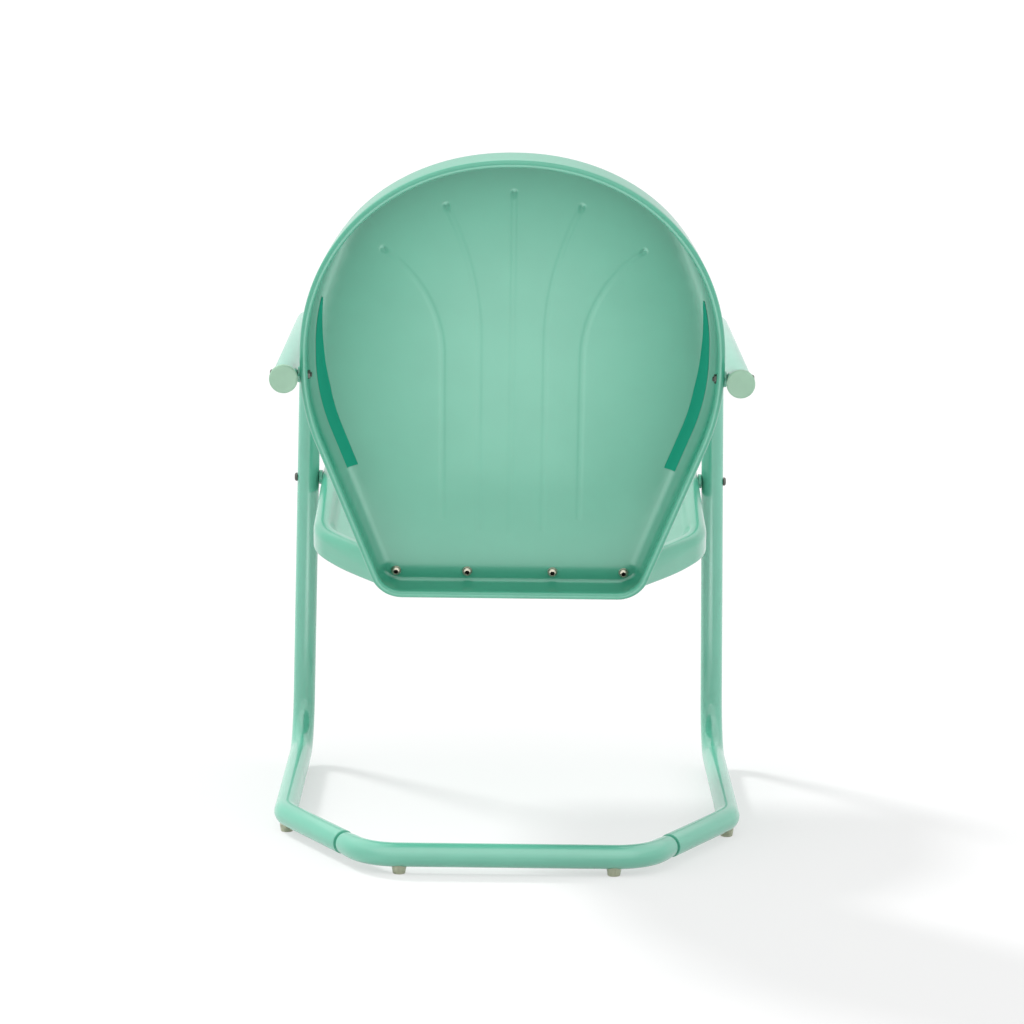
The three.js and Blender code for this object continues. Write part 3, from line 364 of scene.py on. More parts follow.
def rounded_path(corners, radii, step=math.radians(3.0)):
    """Points along straights that arcs join. The first and the last corner stay sharp."""
    points = [corners[0].copy()]
    for before, corner, after, radius in zip(corners, corners[1:], corners[2:], radii):
        into = (corner - before).normalized()
        out = (after - corner).normalized()
        turn = into.angle(out)
        start = corner - into * radius * math.tan(turn / 2)
        aside = (out - into * math.cos(turn)) / math.sin(turn)
        steps = max(2, math.ceil(turn / step))
        for index in range(steps + 1):
            bend = turn * index / steps
            points.append(
                start + into * radius * math.sin(bend) + aside * radius * (1 - math.cos(bend))
            )
    points.append(corners[-1].copy())
    return points


def closed_rounded(corners, radii, step=math.radians(2.0)):
    """A closed flat outline through rounded corners."""
    count = len(corners)
    points = []
    for index, radius in enumerate(radii):
        around = [corners[(index + offset) % count] for offset in (-1, 0, 1)]
        spots = [Vector((spot[0], spot[1], 0.0)) for spot in around]
        bend = rounded_path(spots, [radius], step)[1:-1]
        points.extend((point.x, point.y) for point in bend)
    return np.array(points)


def evenly_spaced(points, count, closed):
    """The same line with its points at even distances."""
    line = np.vstack([points, points[:1]]) if closed else np.asarray(points)
    steps = np.linalg.norm(np.diff(line, axis=0), axis=1)
    far = np.concatenate([[0.0], np.cumsum(steps)])
    wanted = np.linspace(0.0, far[-1], count + 1 if closed else count)
    if closed:
        wanted = wanted[:-1]
    return np.column_stack([np.interp(wanted, far, line[:, axis]) for axis in (0, 1)])


def inwards(outline):
    """The direction into a closed outline at each of its points. It runs clockwise."""
    along = np.roll(outline, -1, axis=0) - np.roll(outline, 1, axis=0)
    along /= np.linalg.norm(along, axis=1)[:, None]
    return np.column_stack([along[:, 1], -along[:, 0]])


def distance_to_line(spots, line):
    """How far each flat point lies from a line of points."""
    starts, ends = line[:-1], line[1:]
    steps = ends - starts
    lengths = np.maximum((steps**2).sum(axis=1), 1e-12)
    offsets = spots[:, None, :] - starts[None, :, :]
    parts = np.clip((offsets * steps[None]).sum(axis=2) / lengths[None], 0.0, 1.0)
    gaps = offsets - parts[:, :, None] * steps[None]
    return np.sqrt((gaps**2).sum(axis=2).min(axis=1))


class Hollow:
    """A shallow hollow inside an edge, deepest in the middle and evened out, without creases."""

    STEP = 0.003
    SPREAD = 0.010
    EASE = 0.006

    def __init__(self, centre, edge, depth, fade):
        self.centre = np.array(centre)
        around = edge - self.centre
        turns = np.arctan2(around[:, 1], around[:, 0])
        order = np.argsort(turns)
        self.turns, self.reaches = turns[order], np.hypot(*around[order].T)
        self.low = edge.min(axis=0) - 0.04
        size = np.ceil((edge.max(axis=0) + 0.04 - self.low) / self.STEP).astype(int)
        x, y = np.meshgrid(
            self.low[0] + np.arange(size[0]) * self.STEP,
            self.low[1] + np.arange(size[1]) * self.STEP,
            indexing="ij",
        )
        part = np.minimum(self.share(x, y)[0], 1.0)
        field = -depth * (1.0 - part**2) * fade(y)
        reach = int(3 * self.SPREAD / self.STEP)
        steps = np.arange(-reach, reach + 1) * self.STEP
        weights = np.exp(-0.5 * (steps / self.SPREAD) ** 2)
        weights /= weights.sum()
        for axis in (0, 1):
            field = np.apply_along_axis(np.convolve, axis, field, weights, mode="same")
        self.field = field

    def share(self, x, y):
        """How far a spot lies from the centre towards the edge, and its distance from the edge."""
        across, along = x - self.centre[0], y - self.centre[1]
        far = np.hypot(across, along)
        reach = np.interp(np.arctan2(along, across), self.turns, self.reaches, period=2 * math.pi)
        return far / reach, np.maximum(reach - far, 0.0)

    def at(self, x, y):
        x, y = np.asarray(x, float), np.asarray(y, float)
        across = np.clip((x - self.low[0]) / self.STEP, 0, self.field.shape[0] - 1.001)
        along = np.clip((y - self.low[1]) / self.STEP, 0, self.field.shape[1] - 1.001)
        i, j = across.astype(int), along.astype(int)
        a, b = across - i, along - j
        field = self.field
        height = (
            field[i, j] * (1 - a) * (1 - b)
            + field[i + 1, j] * a * (1 - b)
            + field[i, j + 1] * (1 - a) * b
            + field[i + 1, j + 1] * a * b
        )
        gap = self.share(x, y)[1]
        return height * gap**2 / (gap**2 + self.EASE**2)


def back_matrix(sizes):
    """From the back's own axes, x across, y up the panel and z forwards, into the chair's."""
    turn = Matrix.Rotation(math.pi / 2 - sizes.recline, 4, "X")
    return Matrix.Translation((0.0, sizes.foot_depth, sizes.foot_height)) @ turn


def seat_matrix(seat, frame_sizes):
    """From the seat's own axes, x across, y towards the back and z above, into the chair's."""
    turn = Matrix.Rotation(-seat.slope, 4, "X")
    return Matrix.Translation((0.0, frame_sizes.front, seat.height)) @ turn


class BackForm:
    """The back's pressed middle surface in its own axes."""

    HALF_POINTS = 221

    def __init__(self, sizes):
        self.sizes = sizes
        half = evenly_spaced(self.half_outline(), self.HALF_POINTS, closed=False)
        other = half[-2:0:-1] * np.array([-1.0, 1.0])
        self.outline = np.vstack([half, other])
        self.inward = inwards(self.outline)
        rows = [self.profile(direction) for direction in self.inward]
        self.rows = np.array(rows).transpose(1, 0, 2)
        edge = self.outline + self.inward * self.rows[-1][:, :1]
        self.hollow = Hollow(
            (0.0, 0.300), edge, sizes.dish, lambda up: smoothstep(up, 0.048, 0.158)
        )

    def half_outline(self):
        """From the top of the crown down the left side to the foot's middle."""
        s = self.sizes
        power = 2.0 / s.crown_power
        points = []
        for turn in np.linspace(0.0, math.pi / 2, 240):
            across = s.half_width * math.sin(turn) ** power
            up = (s.height - s.widest_up) * max(math.cos(turn), 0.0) ** power
            points.append((across, s.widest_up + up))
        centre = (s.half_width - s.shoulder_radius, s.shoulder_up)
        points += arc(centre, s.shoulder_radius, 0.0, -s.taper, 24)
        top = points[-1]
        foot_across = top[0] - top[1] * math.tan(s.taper)
        reach = s.corner_radius * math.tan((math.pi / 2 - s.taper) / 2)
        corner = (foot_across - reach, s.corner_radius)
        points += arc(corner, s.corner_radius, -s.taper, -math.pi / 2, 24)
        points.append((0.0, 0.0))
        return np.array(points)

    def fillet(self, inward):
        """The bend from wall to panel is wider along the sides than over the crown and the foot."""
        s = self.sizes
        return s.end_fillet + (s.side_fillet - s.end_fillet) * smoothstep(abs(inward[0]), 0.7, 0.93)

    def draft(self, inward):
        """The wall is steeper over the crown than along the sides and the foot."""
        s = self.sizes
        return s.draft + (s.crown_draft - s.draft) * smoothstep(-inward[1], 0.2, 0.85)

    def panel_inset(self, inward):
        s = self.sizes
        fillet, draft = self.fillet(inward), self.draft(inward)
        rise = s.rim_depth - s.rim_radius - fillet * (1 - math.sin(draft))
        return rise * math.tan(draft) + fillet * math.cos(draft)

    def profile(self, inward):
        """Inset and height of the turned-in rim, drafted wall and fillet."""
        s = self.sizes
        fillet, draft = self.fillet(inward), self.draft(inward)
        rim_centre = (s.rim_radius, s.rim_radius - s.rim_depth)
        rim = arc(rim_centre, s.rim_radius, 0.0, -math.pi, 14)
        centre = (self.panel_inset(inward), -fillet)
        bend = arc(centre, fillet, math.pi - draft, math.pi / 2, 10)
        wall = [
            tuple(np.array(rim[-1]) + (np.array(bend[0]) - np.array(rim[-1])) * part)
            for part in (0.2, 0.4, 0.6, 0.8)
        ]
        inner = (s.rim_radius * 2, rim_centre[1])
        lip = [(inner[0], inner[1] + s.lip), (inner[0], inner[1] + s.lip / 2)]
        return lip + rim + wall + bend

    def rib_paths(self):
        """Each rib's centre line as flat points, from its foot to its top."""
        paths = []
        for rib in RIBS:
            offset, foot, bend, radius, top = [part * self.sizes.rib_span for part in rib]
            points = [(offset, up) for up in np.arange(foot, bend, RIB_STEP)]
            if radius:
                turn = math.asin((top - bend) / radius)
                for bent in np.linspace(0.0, turn, max(2, int(radius * turn / RIB_STEP))):
                    across = offset + radius * (1 - math.cos(bent))
                    points.append((across, bend + radius * math.sin(bent)))
            else:
                points += [(offset, up) for up in np.arange(bend, top, RIB_STEP)]
            line = np.array(points)
            paths.append(line)
            if offset:
                paths.append(line * np.array([-1.0, 1.0]))
        return paths

    def side_at(self, up):
        """The rim's left side at a height: its place and its direction inwards."""
        half = self.HALF_POINTS
        widest = int(np.argmax(self.outline[:half, 0]))
        line, direction = self.outline[widest:half], self.inward[widest:half]
        if up > line[0, 1]:
            line, direction = self.outline[: widest + 1], self.inward[: widest + 1]
        order = np.argsort(line[:, 1])
        place = np.array([np.interp(up, line[order, 1], line[order, 0]), up])
        into = np.array([np.interp(up, line[order, 1], direction[order, axis]) for axis in (0, 1)])
        return place, into / np.linalg.norm(into)

    def wall_face(self, up, behind):
        """How far out the side wall's outer face stands, at a height and at a depth behind."""
        s = self.sizes
        place, into = self.side_at(up)
        inset = (s.rim_depth - s.rim_radius - behind) * math.tan(s.draft)
        return place[0] + inset * into[0] + s.sheet / 2 / math.cos(s.draft)


class SeatForm:
    """The seat's pressed middle surface in its own axes."""

    POINTS = 460

    def __init__(self, sizes, back, into_seat):
        self.sizes = sizes
        s = sizes
        tab = into_seat @ Vector((0.0, 0.0, back.sheet / 2 + s.fit))
        self.tab_depth = tab.y
        rear = self.tab_depth + s.tuck
        rear_half_width = s.half_width - (rear - s.taper_start) * math.tan(s.taper)
        half = [
            ((rear_half_width, rear), s.tuck_radius),
            ((s.half_width, s.taper_start), s.taper_radius),
            ((s.half_width, -s.front), s.front_radius),
        ]
        front = [((0.0, -s.front - s.front_bow), s.bow_radius)]
        other = [((-spot[0], spot[1]), radius) for spot, radius in reversed(half)]
        corners, radii = zip(*(half + front + other))
        self.outline = evenly_spaced(closed_rounded(corners, radii), self.POINTS, closed=True)
        self.inward = inwards(self.outline)
        self.rows = np.array(self.profile())
        self.edge = self.outline + self.inward * self.rows[-1][0]
        end = self.tab_depth - s.roll_radius
        self.hollow = Hollow(
            (0.0, s.centre), self.edge, s.dish, lambda y: smoothstep(end - y, 0.0, s.half_width / 2)
        )

    def profile(self):
        """Inset and height of the hem, skirt, rolled edge, rim and the soft step to the floor."""
        s = self.sizes
        hem = arc((s.hem_radius, s.hem_radius - s.skirt), s.hem_radius, -math.pi / 2, -math.pi, 5)
        roll = arc((s.roll_radius, -s.roll_radius), s.roll_radius, math.pi, math.pi / 2, 8)
        top, foot = roll[0][1], hem[-1][1]
        skirt = [(0.0, foot + (top - foot) * part) for part in (0.25, 0.5, 0.75)]
        step = [
            (inset, -s.floor_drop * smoothstep(inset, s.step_start, s.step_end))
            for inset in np.linspace(s.step_start, s.step_end, 11)
        ]
        middle = [((s.roll_radius + s.step_start) / 2, 0.0)]
        return [(s.hem, -s.skirt), (s.hem * 0.7, -s.skirt)] + hem + skirt + roll + middle + step


# Meshes


def new_object(name, vertices, faces, edges=()):
    mesh = bpy.data.meshes.new(name)
    mesh.from_pydata([tuple(spot) for spot in vertices], list(edges), [tuple(f) for f in faces])
    mesh.update()
    piece = bpy.data.objects.new(name, mesh)
    bpy.context.scene.collection.objects.link(piece)
    return piece


def drop(*pieces):
    for piece in pieces:
        data = piece.data
        bpy.data.objects.remove(piece)
        if data is not None and data.users == 0:
            bpy.data.meshes.remove(data)


def edit(piece, change):
    """Opens the piece's mesh, makes the change and writes it back."""
    work = bmesh.new()
    work.from_mesh(piece.data)
    change(work)
    work.to_mesh(piece.data)
    work.free()


def tidy(piece, sharp=math.radians(38.0), merge=0.000005):
    """Merges doubles, points all faces outwards and shades smooth between the sharp edges."""

    def merged(work):
        bmesh.ops.remove_doubles(work, verts=work.verts, dist=merge)
        bmesh.ops.recalc_face_normals(work, faces=work.faces)

    edit(piece, merged)
    piece.data.polygons.foreach_set("use_smooth", [True] * len(piece.data.polygons))
    piece.data.set_sharp_from_angle(angle=sharp)
    piece.data.update()


def settle(piece):
    """Puts the mesh that the modifiers make in the piece's place and takes the modifiers off."""
    bpy.context.view_layer.update()
    graph = bpy.context.evaluated_depsgraph_get()
    mesh = bpy.data.meshes.new_from_object(piece.evaluated_get(graph), depsgraph=graph)
    old = piece.data
    piece.modifiers.clear()
    piece.data = mesh
    mesh.name = piece.name
    if old.users == 0:
        bpy.data.meshes.remove(old)


def thicken(piece, thickness):
    """Gives a middle surface its wall, half to each side."""
    wall = piece.modifiers.new("Wall", "SOLIDIFY")
    wall.thickness = thickness
    wall.offset = 0.0
    settle(piece)


def rings_of(rows, closed=True):
    """Vertices and faces between rows of points, which go once round where they are closed."""
    count = len(rows[0])
    vertices = [tuple(spot) for row in rows for spot in row]
    faces = []
    for low in range(0, (len(rows) - 1) * count, count):
        for index in range(count if closed else count - 1):
            after = (index + 1) % count
            faces.append((low + index, low + after, low + count + after, low + count + index))
    return vertices, faces


def capped(name, rows):
    """A piece of rings whose first and last ring are closed by a face."""
    vertices, faces = rings_of(rows)
    count = len(rows[0])
    last = tuple(range(len(vertices) - count, len(vertices)))
    return new_object(name, vertices, faces + [tuple(range(count))[::-1], last])


def revolved(name, profile, sides=ROUND_SIDES):
    """A closed piece turned about Z, from rows of a height and a radius.

    The radius comes first and may be a function of the angle.
    """
    vertices, faces, rows = [], [], []
    turns = [2 * math.pi * index / sides for index in range(sides)]
    for radius, height in profile:
        start = len(vertices)
        if not callable(radius) and radius == 0:
            vertices.append((0.0, 0.0, height))
            rows.append([start] * sides)
            continue
        for turn in turns:
            far = radius(turn) if callable(radius) else radius
            vertices.append((far * math.cos(turn), far * math.sin(turn), height))
        rows.append(list(range(start, start + sides)))
    closed = rows + rows[:1]
    for one, two in zip(closed, closed[1:]):
        for index in range(sides):
            after = (index + 1) % sides
            corners = [one[index], one[after], two[after], two[index]]
            face = list(dict.fromkeys(corners))
            if len(face) > 2:
                faces.append(face)
    piece = new_object(name, vertices, faces)
    tidy(piece)
    return piece


def filled(edge, inner, holes=()):
    """Triangles inside a closed edge, through the given inner points and round the holes."""
    scale = 1000.0
    rings = [edge] + [hole for hole, _, _ in holes]
    points = np.vstack(rings + [inner]) * scale
    bounds, start = [], 0
    for ring in rings:
        count = len(ring)
        bounds += [(start + index, start + (index + 1) % count) for index in range(count)]
        start += count
    flat = [Vector((spot[0], spot[1])) for spot in points]
    spots, _, triangles, *_ = delaunay_2d_cdt(flat, bounds, [list(range(len(edge)))], 1, 1e-5)
    spots = np.array([(spot.x, spot.y) for spot in spots]) / scale
    kept = []
    for triangle in triangles:
        middle = spots[list(triangle)].mean(axis=0)
        if all(math.dist(middle, centre) > radius for _, centre, radius in holes):
            kept.append(tuple(triangle))
    return spots, kept


def even_points(edge, step, clear_of):
    """Points in even rows inside an edge, clear of it and of the lines, which have their gaps."""
    low, high = edge.min(axis=0), edge.max(axis=0)
    points = []
    for row, y in enumerate(np.arange(low[1], high[1], step * math.sqrt(3) / 2)):
        shift = step / 2 if row % 2 else 0.0
        right = np.arange(step / 2 - shift, high[0], step)
        points += [(x * side, y) for x in right for side in ((1, -1) if x > 1e-6 else (1,))]
    points = np.array(points)
    closed = np.vstack([edge, edge[:1]])
    inside = np.zeros(len(points), bool)
    for (x1, y1), (x2, y2) in zip(closed[:-1], closed[1:]):
        crosses = (y1 > points[:, 1]) != (y2 > points[:, 1])
        if y1 != y2:
            at = (x2 - x1) * (points[:, 1] - y1) / (y2 - y1) + x1
            inside ^= crosses & (points[:, 0] < at)
    points = points[inside]
    for line, gap in [(closed, step * 0.6)] + clear_of:
        points = points[distance_to_line(points, line) > gap]
    return points


def pressed_middle(name, form, inner, holes=(), base=0.0):
    """A sheet's middle surface: rings from the form's outline inwards, then a hollowed panel."""
    rings = []
    for row in form.rows:
        inset, height = (row[:, :1], row[:, 1]) if row.ndim == 2 else (row[0], row[1])
        flat = form.outline + form.inward * inset
        rings.append(np.column_stack([flat, np.broadcast_to(height, len(flat))]))
    vertices, faces = rings_of(rings)
    edge = rings[-1][:, :2]
    spots, triangles = filled(edge, inner, holes)
    heights = base + form.hollow.at(spots[:, 0], spots[:, 1])
    start = len(vertices)
    vertices += [tuple(spot) for spot in np.column_stack([spots, heights])]
    faces += [tuple(corner + start for corner in triangle) for triangle in triangles]
    piece = new_object(name, vertices, faces)
    tidy(piece, merge=0.00002)
    return piece


# Geometry Nodes


def new_tree(name, inputs):
    """An empty tree with named inputs, each a name, a socket type and a default."""
    tree = bpy.data.node_groups.new(name, "GeometryNodeTree")
    face = tree.interface
    face.new_socket("Geometry", in_out="INPUT", socket_type="NodeSocketGeometry")
    face.new_socket("Geometry", in_out="OUTPUT", socket_type="NodeSocketGeometry")
    for label, kind, default in inputs:
        socket = face.new_socket(label, in_out="INPUT", socket_type="NodeSocket" + kind)
        if default is not None:
            socket.default_value = default
    return tree


def add_node(tree, kind, inputs=None, **settings):
    """A node with its settings made, and each input either linked to a socket or given a value."""
    node = tree.nodes.new(kind)
    for key, value in settings.items():
        setattr(node, key, value)
    for key, value in (inputs or {}).items():
        if isinstance(value, bpy.types.NodeSocket):
            tree.links.new(value, node.inputs[key])
        else:
            node.inputs[key].default_value = value
    return node


def enabled(sockets):
    """The sockets that the node's settings leave on."""
    return [socket for socket in sockets if socket.enabled]


def calculate(tree, operation, one, two):
    return add_node(tree, "ShaderNodeMath", {0: one, 1: two}, operation=operation).outputs[0]


def ranged(tree, value, low, high, start=0.3, end=0.7, **settings):
    inputs = {"Value": value, "From Min": start, "From Max": end, "To Min": low, "To Max": high}
    return add_node(tree, "ShaderNodeMapRange", inputs, **settings).outputs["Result"]


def point_value(tree, name, kind):
    """The value that a piece's points carry under a name."""
    node = add_node(tree, "GeometryNodeInputNamedAttribute", {"Name": name}, data_type=kind)
    return node.outputs["Attribute"]


def close_tree(tree, geometry, material):
    """Ends a tree in Realize Instances and Set Material."""
    whole = add_node(tree, "GeometryNodeRealizeInstances", {"Geometry": geometry})
    inputs = {"Geometry": whole.outputs["Geometry"], "Material": material}
    dressed = add_node(tree, "GeometryNodeSetMaterial", inputs)
    add_node(tree, "NodeGroupOutput", {"Geometry": dressed.outputs["Geometry"]})


def grow(piece, tree, **values):
    """Runs a tree on a piece and keeps the plain mesh that it makes."""
    modifier = piece.modifiers.new(tree.name, "NODES")
    modifier.node_group = tree
    wanted = {label.replace("_", " ").lower(): value for label, value in values.items()}
    for item in tree.interface.items_tree:
        if item.in_out == "INPUT" and item.name.lower() in wanted:
            modifier[item.identifier] = wanted.pop(item.name.lower())
    if wanted:
        raise RuntimeError(f"{tree.name} has no inputs named {sorted(wanted)}")
    settle(piece)


def tube_tree():
    """A round tube along a line of edges, as thick at each point as its girth says."""
    tree = bpy.data.node_groups.get("Tube on a path")
    if tree:
        return tree
    inputs = [("Tube Radius", "Float", 0.0143), ("Sides", "Int", 40), ("Paint", "Material", None)]
    tree = new_tree("Tube on a path", inputs)
    group = add_node(tree, "NodeGroupInput").outputs
    path = add_node(tree, "GeometryNodeMeshToCurve", {"Mesh": group["Geometry"]})
    round_shape = {"Resolution": group["Sides"], "Radius": group["Tube Radius"]}
    ring = add_node(tree, "GeometryNodeCurvePrimitiveCircle", round_shape, mode="RADIUS")
    inputs = {
        "Curve": path.outputs["Curve"],
        "Profile Curve": ring.outputs["Curve"],
        "Scale": point_value(tree, "girth", "FLOAT"),
        "Fill Caps": True,
    }
    tube = add_node(tree, "GeometryNodeCurveToMesh", inputs)
    close_tree(tree, tube.outputs["Mesh"], group["Paint"])
    return tree


def rib_tree():
    """Presses beads along guide lines into a panel that faces up Z, each with a pit at its top."""
    inputs = [
        ("Ribs", "Object", None),
        ("Rib Tops", "Object", None),
        ("Rib Half Width", "Float", 0.0044),
        ("Rib Crown Half Width", "Float", 0.0011),
        ("Rib Height", "Float", 0.0026),
        ("Pit Depth", "Float", 0.0012),
        ("Pit Radius", "Float", 0.0055),
        ("Paint", "Material", None),
    ]
    tree = new_tree("Pressed ribs", inputs)
    group = add_node(tree, "NodeGroupInput").outputs

    def bead(target, element, near, far, height):
        shape = add_node(tree, "GeometryNodeObjectInfo", {"Object": target})
        inputs = {"Geometry": shape.outputs["Geometry"]}
        gap = add_node(tree, "GeometryNodeProximity", inputs, target_element=element)
        ends = (1.0, 0.0, near, far)
        rise = ranged(tree, gap.outputs["Distance"], *ends, interpolation_type="SMOOTHSTEP")
        return calculate(tree, "MULTIPLY", rise, height)

    crown, foot = group["Rib Crown Half Width"], group["Rib Half Width"]
    rib = bead(group["Ribs"], "EDGES", crown, foot, group["Rib Height"])
    pit = bead(group["Rib Tops"], "POINTS", 0.0, group["Pit Radius"], group["Pit Depth"])
    total = calculate(tree, "ADD", rib, pit)
    rise = add_node(tree, "ShaderNodeCombineXYZ", {"Z": total}).outputs["Vector"]
    inputs = {"Geometry": group["Geometry"], "Offset": rise}
    pressed = add_node(tree, "GeometryNodeSetPosition", inputs)
    close_tree(tree, pressed.outputs["Geometry"], group["Paint"])
    return tree


def scatter_tree():
    """A copy of a pattern on each point, facing the point's aim and turned by chance about it."""
    tree = bpy.data.node_groups.get("Fixings on points")
    if tree:
        return tree
    inputs = [
        ("Pattern", "Object", None),
        ("Most Turn", "Float", 0.0),
        ("Seed", "Int", 7),
        ("Metal", "Material", None),
    ]
    tree = new_tree("Fixings on points", inputs)
    group = add_node(tree, "NodeGroupInput").outputs
    points = add_node(tree, "GeometryNodeMeshToPoints", {"Mesh": group["Geometry"]})
    pattern = add_node(tree, "GeometryNodeObjectInfo", {"Object": group["Pattern"]})
    inputs = {"Vector": point_value(tree, "aim", "FLOAT_VECTOR")}
    facing = add_node(tree, "FunctionNodeAlignRotationToVector", inputs, axis="Z")
    chance = add_node(tree, "FunctionNodeRandomValue", {"Seed": group["Seed"]}, data_type="FLOAT")
    tree.links.new(group["Most Turn"], enabled(chance.inputs)[1])
    inputs = {"Axis": (0.0, 0.0, 1.0), "Angle": enabled(chance.outputs)[0]}
    turn = add_node(tree, "FunctionNodeAxisAngleToRotation", inputs)
    inputs = {"Rotation": facing.outputs["Rotation"], "Rotate By": turn.outputs["Rotation"]}
    turned = add_node(tree, "FunctionNodeRotateRotation", inputs, rotation_space="LOCAL")
    inputs = {
        "Points": points.outputs["Points"],
        "Instance": pattern.outputs["Geometry"],
        "Rotation": turned.outputs["Rotation"],
    }
    copies = add_node(tree, "GeometryNodeInstanceOnPoints", inputs)
    close_tree(tree, copies.outputs["Instances"], group["Metal"])
    return tree


def write_points(piece, name, kind, values):
    """A named value, or three, for each of a piece's points."""
    attribute = piece.data.attributes.new(name, kind, "POINT")
    key = "vector" if kind == "FLOAT_VECTOR" else "value"
    attribute.data.foreach_set(key, np.array(values, np.float32).ravel())


def tube_on(name, path, girths, sizes, paint):
    """A tube along a path, each point with its own girth as a share of the tube's radius."""
    edges = [(index, index + 1) for index in range(len(path) - 1)]
    piece = new_object(name, path, [], edges)
    write_points(piece, "girth", "FLOAT", girths)
    grow(piece, tube_tree(), tube_radius=sizes.tube / 2, sides=sizes.sides, paint=paint)
    tidy(piece)
    return piece


def scattered(name, pattern, places, most_turn, seed, metal):
    """One mesh with a copy of the pattern at each place, given as a point and an aim."""
    piece = new_object(name, [place for place, _ in places], [])
    write_points(piece, "aim", "FLOAT_VECTOR", [aim for _, aim in places])
    grow(piece, scatter_tree(), pattern=pattern, most_turn=most_turn, seed=seed, metal=metal)
    drop(pattern)
    tidy(piece)
    return piece


def place_piece(piece, body, nodes, material=None):
    """Dresses a finished piece, ties it to its body and hides the nodes that it stands for."""
    if material is not None:
        piece.data.materials.clear()
        piece.data.materials.append(material)
    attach(piece, body)
    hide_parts(*nodes)


def middle_of(node):
    low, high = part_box(node)
    return (low + high) / 2


# Finishes


def new_finish(name):
    material = bpy.data.materials.get(name)
    if material:
        return material, None
    material = bpy.data.materials.new(name)
    material.use_nodes = True
    return material, material.node_tree


def clouds(tree, coordinates, scale, detail, roughness=0.5):
    inputs = {"Vector": coordinates, "Scale": scale, "Detail": detail, "Roughness": roughness}
    return add_node(tree, "ShaderNodeTexNoise", inputs).outputs["Fac"]


def tinted(tree, value, base, dark, light):
    """A colour between a darker and a lighter tint of the base."""
    mix = add_node(tree, "ShaderNodeMix", data_type="RGBA")
    factor, one, two = enabled(mix.inputs)[:3]
    tree.links.new(value, factor)
    one.default_value = [channel * dark for channel in base] + [1.0]
    two.default_value = [min(channel * light, 1.0) for channel in base] + [1.0]
    return enabled(mix.outputs)[0]


def bumped(tree, height, depth):
    inputs = {"Height": height, "Distance": depth, "Strength": 1.0}
    return add_node(tree, "ShaderNodeBump", inputs).outputs["Normal"]


def shaded_recesses(tree, colour):
    """The colour, with painted shade, a near-black, in the recesses that a pattern marks."""
    recess = add_node(tree, "ShaderNodeAttribute", attribute_name="recess").outputs["Fac"]
    mix = add_node(tree, "ShaderNodeMix", data_type="RGBA")
    factor, unshaded, painted_shade = enabled(mix.inputs)[:3]
    tree.links.new(recess, factor)
    tree.links.new(colour, unshaded)
    painted_shade.default_value = RECESS_PAINTED_SHADE
    return enabled(mix.outputs)[0]


def textured(name, base, shade, gloss=None, relief=None, settings=None, recessed=False):
    """A finish with noise in its colour, its gloss and its surface.

    The shade is a noise with its darkest and lightest tint, the gloss a noise with its two
    roughnesses and the relief a noise with its depth. The settings are plain values of the shader.
    """
    material, tree = new_finish(name)
    if tree is None:
        return material
    shader = tree.nodes["Principled BSDF"].inputs
    spots = add_node(tree, "ShaderNodeTexCoord").outputs["Object"]
    noise, dark, light = shade
    colour = tinted(tree, ranged(tree, clouds(tree, spots, *noise), 0.0, 1.0), base, dark, light)
    # Where recessed is set, the marked recesses get painted shade
    tree.links.new(shaded_recesses(tree, colour) if recessed else colour, shader["Base Color"])
    if gloss:
        noise, low, high = gloss
        tree.links.new(ranged(tree, clouds(tree, spots, *noise), low, high), shader["Roughness"])
    if relief:
        noise, depth = relief
        tree.links.new(bumped(tree, clouds(tree, spots, *noise), depth), shader["Normal"])
    for socket, value in (settings or {}).items():
        shader[socket].default_value = value
    return material


def enamel(name, base, roughness, coat_ior=1.5):
    """Sprayed gloss enamel: a faint unevenness in colour and gloss, and a slow wave."""
    broad = (14.0, 3.0)
    gloss = (broad, roughness + 0.02, roughness - 0.02)
    coat = {"IOR": 1.52, "Coat Weight": 0.7, "Coat IOR": coat_ior, "Coat Roughness": 0.14}
    return textured(name, base, (broad, 0.97, 1.03), gloss, ((30.0, 0.0), 0.00006), coat)


def green_enamel(finish):
    return enamel("Green enamel", finish.paint, finish.paint_roughness)


def tube_enamel(finish):
    """The tubes' green, the sheets' enamel made a little paler as painted light, and with a
    stronger gloss.
    """
    return enamel("Green tube enamel", finish.tube_paint_lit, finish.tube_roughness, 1.9)


def strip_shaded_enamel(finish):
    """Flat paint with hardly any gloss, its dark green painted shade."""
    flat = {"Roughness": 0.6, "Specular IOR Level": 0.06}
    return textured("Dark green enamel", finish.strip, ((14.0, 3.0), 0.97, 1.03), settings=flat)


def cap_plastic(finish):
    """Matte moulded plastic with a fine grain."""
    rough = finish.cap_roughness
    gloss, grain = ((240.0, 3.0), rough - 0.05, rough + 0.05), ((1600.0, 2.0), 0.00004)
    return textured("Matte cap plastic", finish.cap, ((60.0, 3.0), 0.96, 1.04), gloss, grain)


def foot_plastic(finish):
    """Cloudy see-through plastic that lets the tube's colour and the screw show a little."""
    gloss, grain = ((500.0, 2.0), 0.30, 0.42), ((900.0, 2.0), 0.00003)
    clear = {"Transmission Weight": 0.45, "IOR": 1.47}
    shade = ((200.0, 3.0), 0.94, 1.04)
    return textured("Cloudy foot plastic", finish.foot, shade, gloss, grain, clear)


def plated(name, base, roughness, metallic):
    """Plated or oxidised steel with turning marks, small blemishes and painted shade in its
    recesses.
    """
    gloss = ((800.0, 4.0, 0.6), roughness - 0.06, roughness + 0.10)
    shade, marks = ((350.0, 4.0), 0.86, 1.08), ((2600.0, 2.0), 0.00003)
    return textured(name, base, shade, gloss, marks, {"Metallic": metallic}, recessed=True)


def bright_steel(finish):
    return plated("Bright zinc", finish.bright, 0.28, 1.0)


def dark_steel(finish):
    return plated("Dark oxide", finish.dark, 0.38, 0.9)


# Fixing patterns


